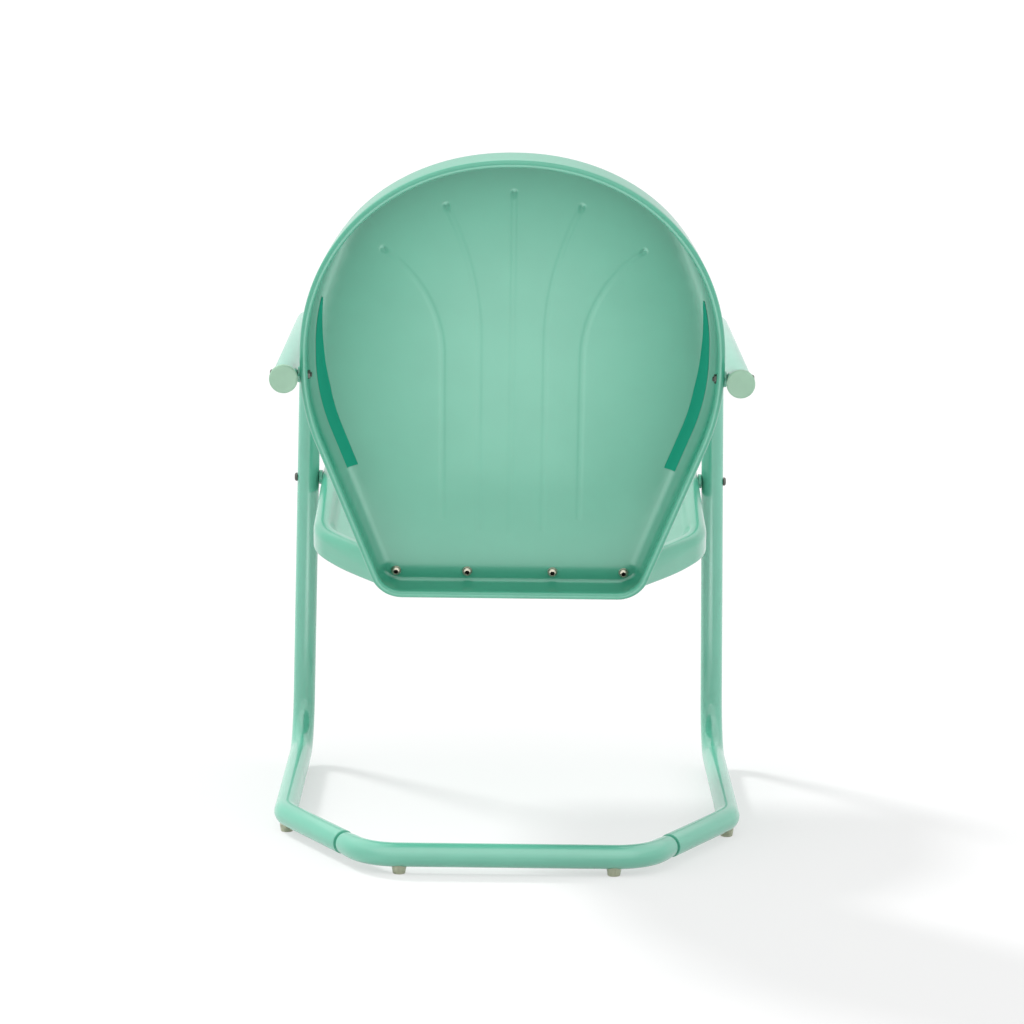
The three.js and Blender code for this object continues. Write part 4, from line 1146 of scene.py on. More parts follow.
def hexagon(flats):
    """The radius of a hexagon at each angle, from its width across the flats."""

    def radius(turn):
        part = (turn + math.pi / 6) % (math.pi / 3) - math.pi / 6
        return flats / 2 / math.cos(part)

    return radius


def screw_pattern(sizes, reach):
    """A domed socket screw with its head towards Z, and thread grooves over its lower part."""
    s = sizes
    flat_top, ease = s.socket * 0.64, 0.0003
    dome = []
    for turn in np.linspace(0.0, math.pi / 2, 10):
        across = flat_top + (s.head_radius - flat_top) * math.cos(turn)
        dome.append((across, s.head_height * math.sin(turn) ** 0.85))
    inner = hexagon(s.socket)
    floor = s.head_height - s.socket_depth
    profile = [(0.0, -reach), (s.screw_radius * 0.72, -reach)]
    pitch, plain = 0.001, min(reach * 0.35, 0.004)
    height = -reach + pitch * 0.6
    while height < -plain:
        profile += [(s.screw_radius, height), (s.screw_radius, height + pitch * 0.2)]
        profile += [(s.screw_radius * 0.86, height + pitch * 0.55)]
        height += pitch
    profile += [(s.screw_radius, height), (s.screw_radius, 0.0), (s.head_radius - ease, 0.0)]
    profile += [(s.head_radius, ease)] + dome[1:]
    profile += [(lambda turn: inner(turn) + 0.00022, s.head_height)]
    profile += [(inner, s.head_height - 0.00025), (inner, floor), (0.0, floor - 0.0004)]
    screw = revolved("screw pattern", profile)
    # The socket's inside is marked as a recess, which the plated finishes paint with shade
    corner = s.socket / 2 / math.cos(math.pi / 6) + 0.00001
    lit = s.head_height - 0.0001
    inside = [
        math.hypot(spot.co.x, spot.co.y) < corner and floor - 0.001 < spot.co.z < lit
        for spot in screw.data.vertices
    ]
    write_points(screw, "recess", "FLOAT", inside)
    return screw


def ring_pattern(name, radius, bore, thickness, ease):
    """A flat ring from Z 0 up, with its outer edges eased."""
    profile = [
        (bore, 0.0),
        (radius - ease, 0.0),
        (radius, ease),
        (radius, thickness - ease),
        (radius - ease, thickness),
        (bore + ease / 2, thickness),
        (bore, thickness - ease / 2),
    ]
    return revolved(name, profile)


def nut_pattern(sizes):
    """A hexagon nut from Z 0 up, with both faces chamfered and a countersunk bore."""
    s = sizes
    outer = hexagon(s.nut_flats)

    def limited(gap):
        return lambda turn: min(outer(turn), s.nut_flats * 0.485 + gap * 1.9)

    bore, edge = s.screw_radius * 1.02, 0.0004
    profile = [(bore + edge, 0.0)]
    profile += [(limited(gap), gap) for gap in (0.0, 0.0002, 0.0004)]
    profile += [(limited(gap), s.nut - gap) for gap in (0.0004, 0.0002, 0.0)]
    profile += [(bore + edge, s.nut), (bore, s.nut - edge), (bore, edge)]
    return revolved("nut pattern", profile, 72)


# Operators


class PieceOperator:
    """What every operator here shares."""

    bl_options = {"REGISTER", "UNDO"}

    @classmethod
    def poll(cls, context):
        return hasattr(context.scene, "lawn_chair")


class LAWNCHAIR_OT_side_frames(PieceOperator, bpy.types.Operator):
    """Two bent tubes, each an arm, a leg, a spring bend and a runner in one piece"""

    bl_idname = "lawnchair.side_frames"
    bl_label = "Side frames"

    def execute(self, context):
        chair = context.scene.lawn_chair
        sizes = chair.frame
        path, girths = eased_ends(side_path(sizes), sizes.tube / 2, TUBE_EASE)
        for side, word in SIDES:
            points = [mirrored(spot, side) for spot in path]
            tube = tube_on(f"{word}_frame", points, girths, sizes, tube_enamel(chair.finish))
            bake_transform(tube)
            nodes = [f"{word}_{part}" for part in ("arm_leg_tube", "spring_bend", "runner_tube")]
            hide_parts(*nodes)
        return {"FINISHED"}


def frame_x(sizes, height):
    return sizes.half_width - (height - sizes.base_height) * math.tan(sizes.lean)


def side_corners(sizes):
    """Where the left frame's straights would meet, from the arm's end to the cross tube."""
    s = sizes
    return [
        Vector((frame_x(s, s.arm_rear), s.arm_end, s.arm_rear)),
        Vector((frame_x(s, s.arm_front), s.front, s.arm_front)),
        Vector((s.half_width, s.front, s.base_height)),
        Vector((s.half_width, s.runner_corner, s.base_height)),
        Vector((s.cross_half_width, s.cross_depth, s.base_height)),
    ]


def side_path(sizes):
    corners = side_corners(sizes)
    diagonal = (corners[4] - corners[3]).normalized()
    corners[4] = corners[4] - diagonal * sizes.seam_distance
    return rounded_path(corners, [sizes.arm_bend, sizes.spring_bend, sizes.runner_bend])


def eased_ends(path, radius, ease):
    """A path with extra points near both ends, and girths that round the tube's end edges."""
    shares = (0.0, 0.12, 0.35, 0.65, 1.0)
    drops = [ease - ease * math.sqrt(1 - (1 - part) ** 2) for part in shares]
    girths = [1 - inset / radius for inset in drops]
    first = (path[1] - path[0]).normalized()
    last = (path[-2] - path[-1]).normalized()
    start = [path[0] + first * ease * part for part in shares]
    end = [path[-1] + last * ease * part for part in reversed(shares)]
    middle = path[1:-1]
    return start + middle + end, girths + [1.0] * len(middle) + girths[::-1]


class LAWNCHAIR_OT_base_connector(PieceOperator, bpy.types.Operator):
    """The cross tube behind, with reduced ends that enter the runners"""

    bl_idname = "lawnchair.base_connector"
    bl_label = "Base connector"

    def execute(self, context):
        chair = context.scene.lawn_chair
        sizes = chair.frame
        corners = side_corners(sizes)
        diagonal = (corners[4] - corners[3]).normalized()
        seam = corners[4] - diagonal * (sizes.seam_distance - sizes.seam_gap)
        middle = Vector((0.0, sizes.cross_depth, sizes.base_height))
        half = rounded_path([seam, corners[4], middle], [sizes.cross_bend])
        radius = sizes.tube / 2
        neck = sizes.neck / radius
        inside = [(-0.020, 1.0), (-0.0022, 1.0), (-0.0010, 1.01), (-0.0003, 1.04)]
        ends = [(far, neck * girth) for far, girth in inside] + list(CONNECTOR_END)
        start = [seam + diagonal * far for far, _ in ends]
        path = start + half[1:]
        girths = [girth for _, girth in ends] + [1.0] * (len(half) - 1)
        other = [mirrored(spot, -1) for spot in reversed(path[:-1])]
        path, girths = path + other, girths + girths[-2::-1]
        tube = tube_on("cross_tube", path, girths, sizes, tube_enamel(chair.finish))
        place_piece(tube, BASE, ["base_connector"])
        return {"FINISHED"}


class LAWNCHAIR_OT_back_shell(PieceOperator, bpy.types.Operator):
    """The pressed back: dished panel, ribs, fillet, drafted wall and rounded hem"""

    bl_idname = "lawnchair.back_shell"
    bl_label = "Back shell"

    def execute(self, context):
        chair = context.scene.lawn_chair
        sizes = chair.back
        form = BackForm(sizes)
        paths = form.rib_paths()
        edge = form.outline + form.inward * form.rows[-1][:, :1]
        inner = [rib_points(path) for path in paths]
        inner.append(even_points(edge, PANEL_STEP, [(path, RIB_CLEAR) for path in paths]))
        shell = pressed_middle("pressed_back", form, np.vstack(inner))
        guides = rib_guides(form, paths)
        grow(
            shell,
            rib_tree(),
            ribs=guides[0],
            rib_tops=guides[1],
            rib_half_width=sizes.rib_width / 2,
            rib_crown_half_width=sizes.rib_crown / 2,
            rib_height=sizes.rib_height,
            pit_depth=sizes.pit_depth,
            pit_radius=sizes.pit_radius,
            paint=green_enamel(chair.finish),
        )
        drop(*guides)
        thicken(shell, sizes.sheet)
        shell.data.transform(back_matrix(sizes))
        tidy(shell)
        place_piece(shell, SEAT_UNIT, ["back_shell"])
        return {"FINISHED"}


def rib_points(path):
    """Points beside a rib's centre line and round its ends, closer where the sheet bends."""
    along = np.gradient(path, axis=0)
    along /= np.linalg.norm(along, axis=1)[:, None]
    aside = np.column_stack([along[:, 1], -along[:, 0]])
    points = [path]
    for offset in RIB_ASIDE:
        points += [path + aside * offset, path - aside * offset]
        count = max(3, int(round(math.pi * offset / 0.0022)))
        for end, out in ((path[0], -along[0]), (path[-1], along[-1])):
            heading = math.atan2(out[1], out[0])
            turns = heading + (np.arange(1, count) / count - 0.5) * math.pi
            points.append(end + offset * np.column_stack([np.cos(turns), np.sin(turns)]))
    return np.vstack(points)


def rib_guides(form, paths):
    """One object with the ribs' centre lines as edges, and one with a point at each rib's top."""
    vertices, edges, tops = [], [], []
    for path in paths:
        heights = form.hollow.at(path[:, 0], path[:, 1])
        start = len(vertices)
        vertices += [tuple(spot) for spot in np.column_stack([path, heights])]
        edges += [(start + index, start + index + 1) for index in range(len(path) - 1)]
        tops.append(vertices[-1])
    return new_object("rib guides", vertices, [], edges), new_object("rib tops", tops, [])


class LAWNCHAIR_OT_side_strips(PieceOperator, bpy.types.Operator):
    """A tapering strip along the fillet on each side of the back, its darker green painted shade"""

    bl_idname = "lawnchair.side_strips"
    bl_label = "Side strips"

    def execute(self, context):
        chair = context.scene.lawn_chair
        sizes = chair.back
        form = BackForm(sizes)
        # The strips' darker paint is painted shade
        paint = strip_shaded_enamel(chair.finish)
        rows = strip_rows(form)
        vertices, faces = rings_of(rows, closed=False)
        for side, word in SIDES:
            spots = [(x * side, y, z) for x, y, z in vertices]
            strip = new_object(f"{word}_back_strip", spots, faces)
            tidy(strip)
            thicken(strip, sizes.strip_sheet)
            strip.data.transform(back_matrix(sizes))
            tidy(strip)
            place_piece(strip, SEAT_UNIT, [f"{word}_side_strip"], paint)
        return {"FINISHED"}


def strip_rows(form):
    """Rows across a strip from its top to its foot, laid along the inside of the fillet."""
    s = form.sizes
    face_gap = (s.sheet + s.strip_sheet) / 2 + s.strip_gap
    rows = []
    for part in np.linspace(0.0, 1.0, 61):
        up = s.strip_top + part * (s.strip_foot - s.strip_top)
        place, into = form.side_at(up)
        fillet, panel = form.fillet(into), form.panel_inset(into)
        width = s.strip_point + (s.strip_width - s.strip_point) * min(part * 1.9, 1.0) ** 0.75
        row = []
        for step in np.linspace(0.0, 1.0, 9):
            inset = s.strip_outer + step * width
            across = max(panel - inset, 0.0)
            valley = fillet - math.sqrt(fillet**2 - across**2)
            spot = place + into * inset
            row.append((spot[0], spot[1], -valley + float(form.hollow.at(*spot)) - face_gap))
        rows.append(row)
    return rows


class LAWNCHAIR_OT_seat_pan(PieceOperator, bpy.types.Operator):
    """The pressed seat: skirt, rolled edge, rim, dished floor with drain holes, and the rear tab"""

    bl_idname = "lawnchair.seat_pan"
    bl_label = "Seat pan"

    def execute(self, context):
        chair = context.scene.lawn_chair
        seat, back = chair.seat, chair.back
        into_seat = seat_matrix(seat, chair.frame).inverted() @ back_matrix(back)
        form = SeatForm(seat, back, into_seat)
        holes = []
        for step in (-1, 0, 1):
            centre = (step * seat.drain_spacing, form.tab_depth - seat.drain_from_tab)
            ring = np.array(circle(centre, seat.drain_radius, 24))
            holes.append((ring, centre, seat.drain_radius * 0.98))
        clear = [(np.vstack([ring, ring[:1]]), FLOOR_STEP / 2) for ring, _, _ in holes]
        inner = even_points(form.edge, FLOOR_STEP, clear)
        pan = pressed_middle("pressed_seat", form, inner, holes, -seat.floor_drop)
        end_at_tab(pan, into_seat, back.sheet + seat.fit)
        raise_rim(pan, seat, form.tab_depth)
        tidy(pan)
        thicken(pan, back.sheet)
        tab = tab_plate(seat, back, into_seat)
        join_into(pan, tab)
        pan.data.transform(seat_matrix(seat, chair.frame))
        tidy(pan)
        place_piece(pan, SEAT_UNIT, ["seat_pan"], green_enamel(chair.finish))
        return {"FINISHED"}


def raise_rim(pan, seat, tab_depth):
    """Lifts the rim beside the back, and makes the skirt end inside the back's foot."""
    for vertex in pan.data.vertices:
        y, z = vertex.co.y, vertex.co.z
        low = smoothstep(-z, seat.floor_drop + seat.dish, seat.skirt)
        lift = seat.skirt_lift * smoothstep(y, seat.lift_start, tab_depth + 0.02)
        high = smoothstep(z, -seat.floor_drop, 0.0)
        aside = smoothstep(abs(vertex.co.x), seat.tab_half_width, seat.tab_half_width + RIM_FADE)
        sweep = seat.rim_lift * smoothstep(y, seat.sweep_start, tab_depth - 0.04)
        vertex.co.z = z + lift * low + sweep * high * aside


def end_at_tab(pan, into_seat, before):
    """Takes off the pan behind the middle of its tab."""
    place = into_seat @ Vector((0.0, 0.0, before))
    out = into_seat.to_3x3() @ Vector((0.0, 0.0, -1.0))

    def ended(work):
        parts = work.verts[:] + work.edges[:] + work.faces[:]
        bmesh.ops.bisect_plane(work, geom=parts, plane_co=place, plane_no=out, clear_outer=True)

    edit(pan, ended)


def tab_plate(seat, back, into_seat):
    """The upturned tab, with the bend that carries the floor up into it.

    It is drawn in the back's axes, where it is upright, and ends in the seat's.
    """
    face = into_seat.inverted()
    front = back.sheet * 1.5 + seat.fit
    rear = back.sheet * 0.5 + seat.fit
    on_floor = Vector((0.0, 0.0, -seat.floor_drop + back.sheet / 2))
    start, heading = face @ on_floor, face.to_3x3() @ Vector((0.0, 1.0, 0.0))
    corner = start + heading * ((front - start.z) / heading.z)
    low = corner.y - back.sheet
    high = low + seat.tab_height
    radius, right = seat.tab_corner, seat.tab_half_width - seat.tab_corner
    outline = [(-seat.tab_half_width, low), (seat.tab_half_width, low)]
    outline += arc((right, high - radius), radius, 0.0, math.pi / 2, 8)
    outline += arc((-right, high - radius), radius, math.pi / 2, math.pi, 8)
    ease = 0.0003
    centre = np.array([0.0, (low + high) / 2])
    shrunk = [tuple(np.array(spot) - np.sign(np.array(spot) - centre) * ease) for spot in outline]
    layers = [(shrunk, rear), (outline, rear + ease), (outline, front - ease), (shrunk, front)]
    plate = capped("tab", [[(x, y, depth) for x, y in layer] for layer, depth in layers])
    bend, sunk = 0.0035, 0.0003
    floor_way, up_way = -heading, Vector((0.0, 1.0, 0.0))
    centre = corner + (floor_way + up_way) * bend
    section = [corner - Vector((0.0, sunk, sunk))]
    for turn in np.linspace(0.0, math.pi / 2, 8):
        section.append(centre - (up_way * math.cos(turn) + floor_way * math.sin(turn)) * bend)
    end = seat.tab_half_width - FOLD_SHORT
    rows = [[(across, spot.y, spot.z) for spot in section] for across in (-end, end)]
    join_into(plate, capped("tab bend", rows))
    plate.data.transform(into_seat)
    tidy(plate)
    return plate


def join_into(piece, other):
    """Adds the other piece's mesh to a piece's own."""
    edit(piece, lambda work: work.from_mesh(other.data))
    drop(other)


class LAWNCHAIR_OT_arm_caps(PieceOperator, bpy.types.Operator):
    """The plastic caps in the arms' rear ends"""

    bl_idname = "lawnchair.arm_caps"
    bl_label = "Arm caps"

    def execute(self, context):
        chair = context.scene.lawn_chair
        s = chair.fixings
        plug = chair.frame.neck
        flat = s.cap_radius - s.cap_edge
        edge = arc((flat, s.cap_thickness - s.cap_edge), s.cap_edge, 0.0, math.pi / 2, 8)
        dome = [
            (flat * part, s.cap_thickness + s.cap_dome * (1 - part**2))
            for part in (0.9, 0.75, 0.55, 0.3)
        ]
        seat, ease = 2 * HAIR, 0.0010
        profile = [
            (0.0, -s.cap_plug),
            (plug - ease, -s.cap_plug),
            (plug, -s.cap_plug + ease),
            (plug, seat),
            (s.cap_radius - ease * 0.6, seat),
            (s.cap_radius - ease * 0.2, ease * 0.4),
            (s.cap_radius, ease),
        ]
        profile += edge + dome + [(0.0, s.cap_thickness + s.cap_dome)]
        path = side_path(chair.frame)
        out = (path[0] - path[1]).normalized()
        plastic = cap_plastic(chair.finish)
        for side, word in SIDES:
            places = [(mirrored(path[0], side), mirrored(out, side))]
            pattern = revolved("cap pattern", profile, 64)
            cap = scattered(f"{word}_cap", pattern, places, 0.0, s.seed, plastic)
            place_piece(cap, SEAT_UNIT, [f"{word}_arm_cap"])
        return {"FINISHED"}


class LAWNCHAIR_OT_feet(PieceOperator, bpy.types.Operator):
    """Six plastic feet with saddle tops under the base, each with its screw"""

    bl_idname = "lawnchair.feet"
    bl_label = "Feet and their screws"

    def execute(self, context):
        chair = context.scene.lawn_chair
        s = chair.fixings
        corners = side_corners(chair.frame)
        middle = Vector((0.0, chair.frame.cross_depth, chair.frame.base_height))
        radii = [chair.frame.spring_bend, chair.frame.runner_bend, chair.frame.cross_bend]
        axis = rounded_path(corners[1:] + [middle], radii)
        line = np.array([(spot.x, spot.y) for spot in axis[len(axis) // 6 :]])
        screws = []
        for side, word in SIDES:
            for part in ("front", "corner", "rear"):
                node = f"{word}_{part}_foot"
                place = middle_of(node)
                foot = foot_piece(f"{node}_pad", place, side, line, s, chair.frame)
                place_piece(foot, BASE, [node], foot_plastic(chair.finish))
                screws.append((f"{node}_screw", Vector((place.x, place.y, 0.0))))
        pattern = foot_screw_pattern(s)
        seat = Vector((0.0, 0.0, s.foot_recess_depth - 0.0003))
        places = [(place + seat, (0.0, 0.0, -1.0)) for _, place in screws]
        steel = bright_steel(chair.finish)
        made = scattered("foot_screws", pattern, places, math.pi, s.seed, steel)
        place_piece(made, BASE, [name for name, _ in screws])
        return {"FINISHED"}


def foot_piece(name, place, side, line, s, frame_sizes):
    """A foot whose top follows the tube above it."""
    reach = frame_sizes.tube / 2 + HAIR

    def saddle(x, y):
        gap = distance_to_line(np.array([[x * side, y]]), line)[0]
        return frame_sizes.base_height - math.sqrt(max(reach**2 - gap**2, 0.0))

    bore = s.foot_screw_radius * 1.05
    rows = [
        (bore, s.foot_recess_depth),
        (s.foot_recess - 0.0004, s.foot_recess_depth),
        (s.foot_recess, s.foot_recess_depth - 0.0004),
        (s.foot_recess, 0.0004),
        (s.foot_recess + 0.0004, 0.0),
        (s.foot_bottom - 0.0008, 0.0),
        (s.foot_bottom - 0.0002, 0.0003),
        (s.foot_bottom + 0.0002, 0.0010),
        (s.foot_bottom * 0.5 + s.foot_top * 0.5, s.foot_height * 0.5),
        (s.foot_top, s.foot_height * 0.85),
    ]
    rows += [(radius, None) for radius in (s.foot_top, s.foot_top * 0.75, s.foot_top * 0.5, bore)]
    rings = []
    for radius, height in rows:
        spots = circle(place, radius)
        rings.append([(x, y, saddle(x, y) if height is None else height) for x, y in spots])
    vertices, faces = rings_of(rings + rings[:1])
    foot = new_object(name, vertices, faces)
    tidy(foot)
    return foot


def foot_screw_pattern(s):
    """A pan-head screw with its head towards Z and a small round recess in it."""
    head = [
        (s.foot_screw_head * math.cos(turn), s.foot_screw_height * math.sin(turn))
        for turn in np.linspace(0.0, math.pi / 2, 7)[:-1]
    ]
    shank = s.foot_screw_length - s.foot_screw_height
    profile = [(0.0, -shank), (s.foot_screw_radius * 0.5, -shank + 0.0006)]
    profile += [(s.foot_screw_radius, -shank + 0.0022), (s.foot_screw_radius, 0.0)] + head
    profile += [(0.0012, s.foot_screw_height), (0.0009, s.foot_screw_height - 0.0009)]
    profile += [(0.0, s.foot_screw_height - 0.0009)]
    return revolved("foot screw pattern", profile, 32)


def bolted_set(chair, group, names, heads, reach, nut_seed, finish):
    """Like screws with their washers and nuts. The heads are places and aims, one for each name."""
    s = chair.fixings
    slot, steel = finish

    def centred(part, thickness):
        middles = [middle_of(f"{name}_{part}") for name in names]
        return [(spot - aim * thickness / 2, aim) for spot, (_, aim) in zip(middles, heads)]

    ring = ring_pattern("washer", s.washer_radius, s.screw_radius * BORE, s.washer, WASHER_EASE)
    for part, pattern, places, most_turn, seed in (
        ("screw", screw_pattern(s, reach), heads, math.pi, s.seed),
        ("washer", ring, centred("washer", s.washer), 0.0, s.seed),
        ("nut", nut_pattern(s), centred("nut", s.nut), math.pi, nut_seed),
    ):
        made = scattered(f"{group}_{part}s", pattern, places, most_turn, seed, steel)
        place_piece(made, SEAT_UNIT, [f"{name}_{part}" for name in names])


class LAWNCHAIR_OT_back_screws(PieceOperator, bpy.types.Operator):
    """The four screws through the back's foot, with their washers and nuts"""

    bl_idname = "lawnchair.back_screws"
    bl_label = "Back screws"

    def execute(self, context):
        chair = context.scene.lawn_chair
        s = chair.fixings
        aim = -back_matrix(chair.back).to_3x3().col[2]
        above = aim * (s.washer / 2 + 2 * HAIR)
        names = [f"back_{number}" for number in (1, 2, 3, 4)]
        heads = [(middle_of(f"{name}_washer") + above, aim) for name in names]
        finish = ("bright_steel", bright_steel(chair.finish))
        bolted_set(chair, "back", names, heads, s.screw_length, s.seed + 1, finish)
        return {"FINISHED"}


class LAWNCHAIR_OT_side_bolts(PieceOperator, bpy.types.Operator):
    """The bolts through the arms and the legs, with their washers, nuts and spacers"""

    bl_idname = "lawnchair.side_bolts"
    bl_label = "Arm and leg bolts"

    def execute(self, context):
        chair = context.scene.lawn_chair
        s = chair.fixings
        finish = ("dark_steel", dark_steel(chair.finish))
        for joint, nut_seed in (("arm", s.seed), ("leg", s.seed + 1)):
            names, heads = [], []
            for side, word in SIDES:
                name = f"{word}_{joint}"
                washer, nut = middle_of(f"{name}_washer"), middle_of(f"{name}_nut")
                under_head = outer_end(f"{name}_screw", side) - s.head_height
                names.append(name)
                heads.append((Vector((under_head * side, *washer.yz)), Vector((side, 0.0, 0.0))))
                reach = under_head - abs(nut.x) + s.nut / 2 + s.tip
            bolted_set(chair, joint, names, heads, reach, nut_seed, finish)
        arm_spacers(chair)
        leg_spacers(chair)
        return {"FINISHED"}


def outer_end(node, side):
    """How far from the middle a node ends, on the side where it is."""
    low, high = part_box(node)
    return high.x if side > 0 else -low.x


def spacer_rows(s, bore):
    """Radius, inner or outer end and shift outwards for each ring of a spacer."""
    ease = SPACER_EASE
    return [
        (bore, False, 0.0),
        (s.spacer_radius - ease, False, 0.0),
        (s.spacer_radius, False, ease),
        (s.spacer_radius, True, -ease),
        (s.spacer_radius - ease, True, 0.0),
        (bore, True, 0.0),
    ]


def arm_spacers(chair):
    """Each arm's spacer, cut at its inner end to lie along the back's drafted wall."""
    s = chair.fixings
    form = BackForm(chair.back)
    matrix = back_matrix(chair.back)
    for side, word in SIDES:
        outer = outer_end(f"{word}_arm_spacer", side)
        centre = matrix.inverted() @ middle_of(f"{word}_arm_washer")
        rings = []
        for radius, out, shift in spacer_rows(s, s.screw_radius * BORE):
            ring = []
            for up, behind in circle((centre.y, -centre.z), radius):
                start = outer if out else form.wall_face(up, behind) + HAIR
                ring.append(((start + shift) * side, up, -behind))
            rings.append(ring)
        vertices, faces = rings_of(rings + rings[:1])
        spacer = new_object(f"{word}_arm_spacer_ring", vertices, faces)
        spacer.data.transform(matrix)
        tidy(spacer)
        nodes = [f"{word}_arm_spacer"]
        place_piece(spacer, SEAT_UNIT, nodes, green_enamel(chair.finish))


def leg_spacers(chair):
    """The plain spacers between the legs and the seat's skirt."""
    s = chair.fixings
    places = []
    for side, word in SIDES:
        low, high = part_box(f"{word}_leg_spacer")
        middle, thickness = (low + high) / 2, high.x - low.x
        near = outer_end(f"{word}_leg_spacer", side) - thickness
        places.append((Vector((near * side, *middle.yz)), (side, 0.0, 0.0)))
    bore = s.screw_radius * BORE
    pattern = ring_pattern("spacer", s.spacer_radius, bore, thickness, SPACER_EASE)
    made = scattered("leg_spacers", pattern, places, 0.0, s.seed, green_enamel(chair.finish))
    place_piece(made, SEAT_UNIT, [f"{word}_leg_spacer" for _, word in SIDES])


class LAWNCHAIR_OT_stage(PieceOperator, bpy.types.Operator):
    """A white studio floor, the key lamp, broad lamps, a reflector, fill light and the camera"""

    bl_idname = "lawnchair.stage"
    bl_label = "Studio"

    def execute(self, context):
        stage = context.scene.lawn_chair.stage
        half = stage.floor_size / 2
        corners = [(-half, -half, 0.0), (half, -half, 0.0), (half, half, 0.0), (-half, half, 0.0)]
        floor = new_object("studio_floor", corners, [(0, 1, 2, 3)])
        floor.data.materials.append(floor_finish(stage))
        sun = (stage.sun_size, stage.sun_height, stage.sun_turn)
        far_lamp("Key", stage.sun_strength, sun, False)
        for name, strength, size, height, turn, in_gloss in BROAD_LAMPS:
            degrees = [math.radians(value) for value in (size, height, turn)]
            far_lamp(name, strength * stage.broad, degrees, in_gloss)
        reflector(stage)
        fill_light(stage)
        set_camera(context.scene, stage)
        context.scene.view_settings.view_transform = "Standard"
        return {"FINISHED"}


def white_rays(tree):
    """1 for what the camera, gloss and glass see, and 0 for light that is scattered."""
    rays = add_node(tree, "ShaderNodeLightPath").outputs
    seen = rays["Is Camera Ray"]
    for kind in ("Is Glossy Ray", "Is Transmission Ray"):
        seen = calculate(tree, "MAXIMUM", seen, rays[kind])
    return seen


def floor_finish(stage):
    """A matt white floor that glows a little where it is seen, and keeps the chair's shadow."""
    material, tree = new_finish("Studio floor")
    shader = tree.nodes["Principled BSDF"]
    shader.inputs["Roughness"].default_value = 1.0
    shader.inputs["Specular IOR Level"].default_value = 0.0
    shader.inputs["Emission Color"].default_value = (1.0, 1.0, 1.0, 1.0)
    seen = white_rays(tree)
    lit = tinted(tree, seen, stage.floor_colour, stage.floor_bounce, stage.floor_lit)
    tree.links.new(lit, shader.inputs["Base Color"])
    glow = ranged(tree, seen, 0.0, stage.floor_glow, 0.0, 1.0)
    tree.links.new(glow, shader.inputs["Emission Strength"])
    return material


def new_lamp(name, kind, strength):
    light = bpy.data.lights.new(name, kind)
    light.energy = strength
    lamp = bpy.data.objects.new(name, light)
    bpy.context.scene.collection.objects.link(lamp)
    return lamp, light


def reflector(stage):
    """A white patch low behind the chair that fades outwards and only shows in the gloss."""
    lamp, light = new_lamp("Reflector", "AREA", stage.reflector_power)
    light.shape = "RECTANGLE"
    light.size, light.size_y = stage.reflector_width, stage.reflector_depth
    light.use_nodes = True
    tree = light.node_tree
    spot = add_node(tree, "ShaderNodeNewGeometry").outputs["Parametric"]
    centre = {0: spot, 1: (0.5, 0.5, 0.0)}
    away = add_node(tree, "ShaderNodeVectorMath", centre, operation="DISTANCE").outputs["Value"]
    fade = ranged(tree, away, 1.0, 0.0, 0.12, 0.5)
    tree.links.new(fade, tree.nodes["Emission"].inputs["Strength"])
    lamp.location = (0.0, stage.reflector_place, 0.03)
    lamp.rotation_euler = (math.pi, 0.0, 0.0)
    lamp.visible_camera = False
    lamp.visible_diffuse = False


def far_lamp(name, strength, angles, in_gloss):
    """A far lamp, which lights the whole floor alike, from its width, height and direction."""
    lamp, light = new_lamp(name, "SUN", strength)
    light.angle, height, turn = angles
    flat = math.cos(height)
    away = Vector((flat * math.cos(turn), flat * math.sin(turn), math.sin(height)))
    lamp.rotation_euler = away.to_track_quat("Z", "Y").to_euler()
    lamp.location = away * 4.0
    lamp.visible_glossy = in_gloss


def fill_light(stage):
    """An even world: its light is the fill, and what the camera, gloss and glass see is white."""
    world = bpy.data.worlds.new("Studio")
    bpy.context.scene.world = world
    world.use_nodes = True
    tree = world.node_tree
    back = tree.nodes["Background"]
    strength = ranged(tree, white_rays(tree), stage.sky, 1.0, 0.0, 1.0)
    tree.links.new(strength, back.inputs["Strength"])
    back.inputs["Color"].default_value = (1.0, 1.0, 1.0, 1.0)


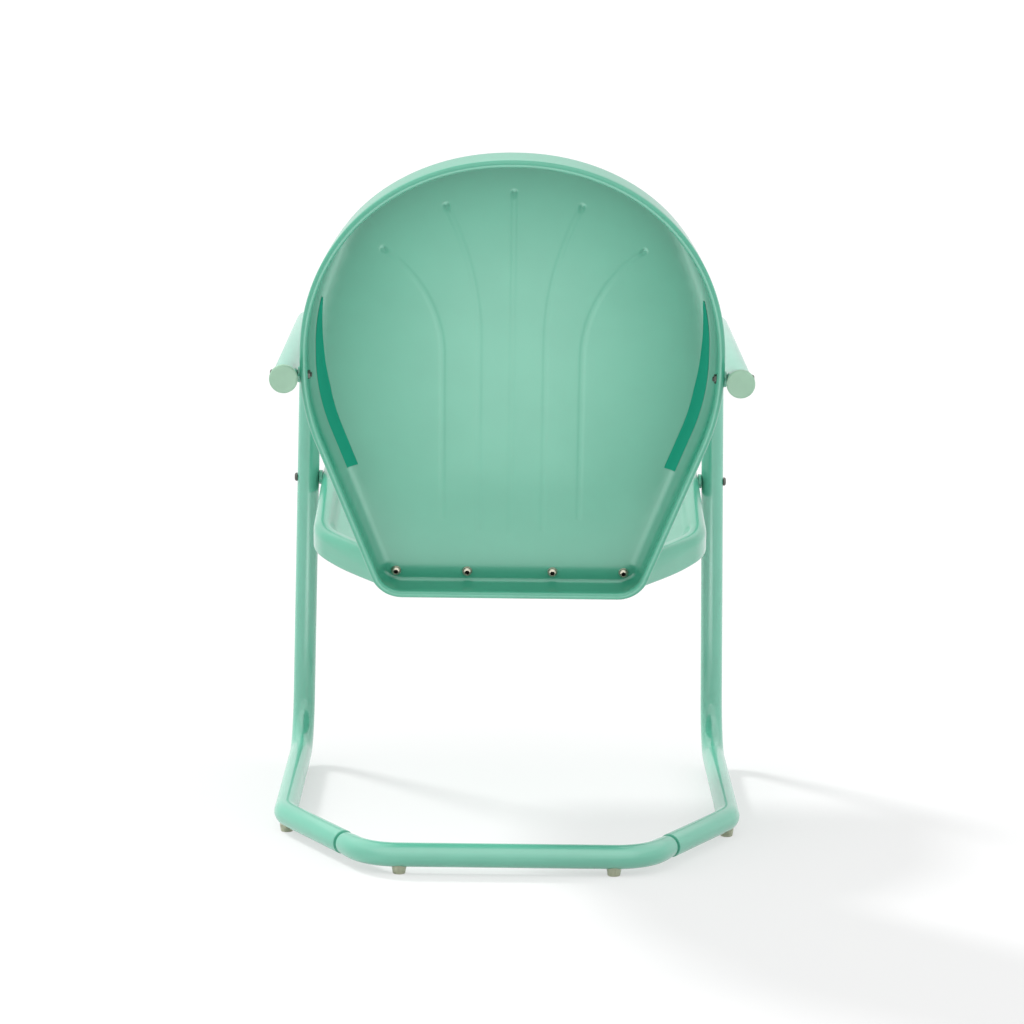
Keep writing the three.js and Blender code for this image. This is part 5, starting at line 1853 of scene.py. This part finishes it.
def set_camera(scene, stage):
    lens = bpy.data.cameras.new("Camera")
    lens.lens, lens.sensor_width, lens.sensor_fit = stage.lens, 36.0, "HORIZONTAL"
    lens.clip_start, lens.clip_end = 0.05, stage.floor_size * 2
    camera = bpy.data.objects.new("Camera", lens)
    scene.collection.objects.link(camera)
    pitch, yaw = stage.camera_pitch, stage.camera_yaw
    level = math.cos(pitch)
    forward = Vector((math.sin(yaw) * level, -math.cos(yaw) * level, -math.sin(pitch)))
    turn = forward.to_track_quat("-Z", "Y").to_matrix() @ Matrix.Rotation(stage.camera_roll, 3, "Z")
    camera.rotation_euler = turn.to_euler()
    camera.location = (stage.camera_across, stage.camera_depth, stage.camera_height)
    scene.camera = camera


class LAWNCHAIR_PT_panel(bpy.types.Panel):
    """The chair's pieces and its studio"""

    bl_idname = "LAWNCHAIR_PT_panel"
    bl_label = "Spring lawn chair"
    bl_space_type = "VIEW_3D"
    bl_region_type = "UI"
    bl_category = "Lawn chair"

    def draw(self, context):
        for operator in OPERATORS:
            self.layout.operator(operator.bl_idname)
        chair = context.scene.lawn_chair
        for part in LawnChair.__annotations__:
            group = getattr(chair, part)
            box = self.layout.box()
            for name in group.__annotations__:
                box.prop(group, name)


OPERATORS = (
    LAWNCHAIR_OT_side_frames,
    LAWNCHAIR_OT_base_connector,
    LAWNCHAIR_OT_back_shell,
    LAWNCHAIR_OT_side_strips,
    LAWNCHAIR_OT_seat_pan,
    LAWNCHAIR_OT_arm_caps,
    LAWNCHAIR_OT_feet,
    LAWNCHAIR_OT_back_screws,
    LAWNCHAIR_OT_side_bolts,
    LAWNCHAIR_OT_stage,
)
GROUPS = (
    FrameSizes,
    BackSizes,
    SeatSizes,
    FixingSizes,
    FinishColours,
    StageSizes,
    LawnChair,
)


def register():
    for entry in GROUPS + OPERATORS + (LAWNCHAIR_PT_panel,):
        bpy.utils.register_class(entry)
    bpy.types.Scene.lawn_chair = PointerProperty(type=LawnChair)


def unregister():
    del bpy.types.Scene.lawn_chair
    for entry in reversed(GROUPS + OPERATORS + (LAWNCHAIR_PT_panel,)):
        bpy.utils.unregister_class(entry)


def main():
    register()
    bpy.ops.lawnchair.side_frames()
    bpy.ops.lawnchair.base_connector()
    bpy.ops.lawnchair.back_shell()
    bpy.ops.lawnchair.side_strips()
    bpy.ops.lawnchair.seat_pan()
    bpy.ops.lawnchair.arm_caps()
    bpy.ops.lawnchair.feet()
    bpy.ops.lawnchair.back_screws()
    bpy.ops.lawnchair.side_bolts()
    bpy.ops.lawnchair.stage()


if __name__ == "__main__":
    main()
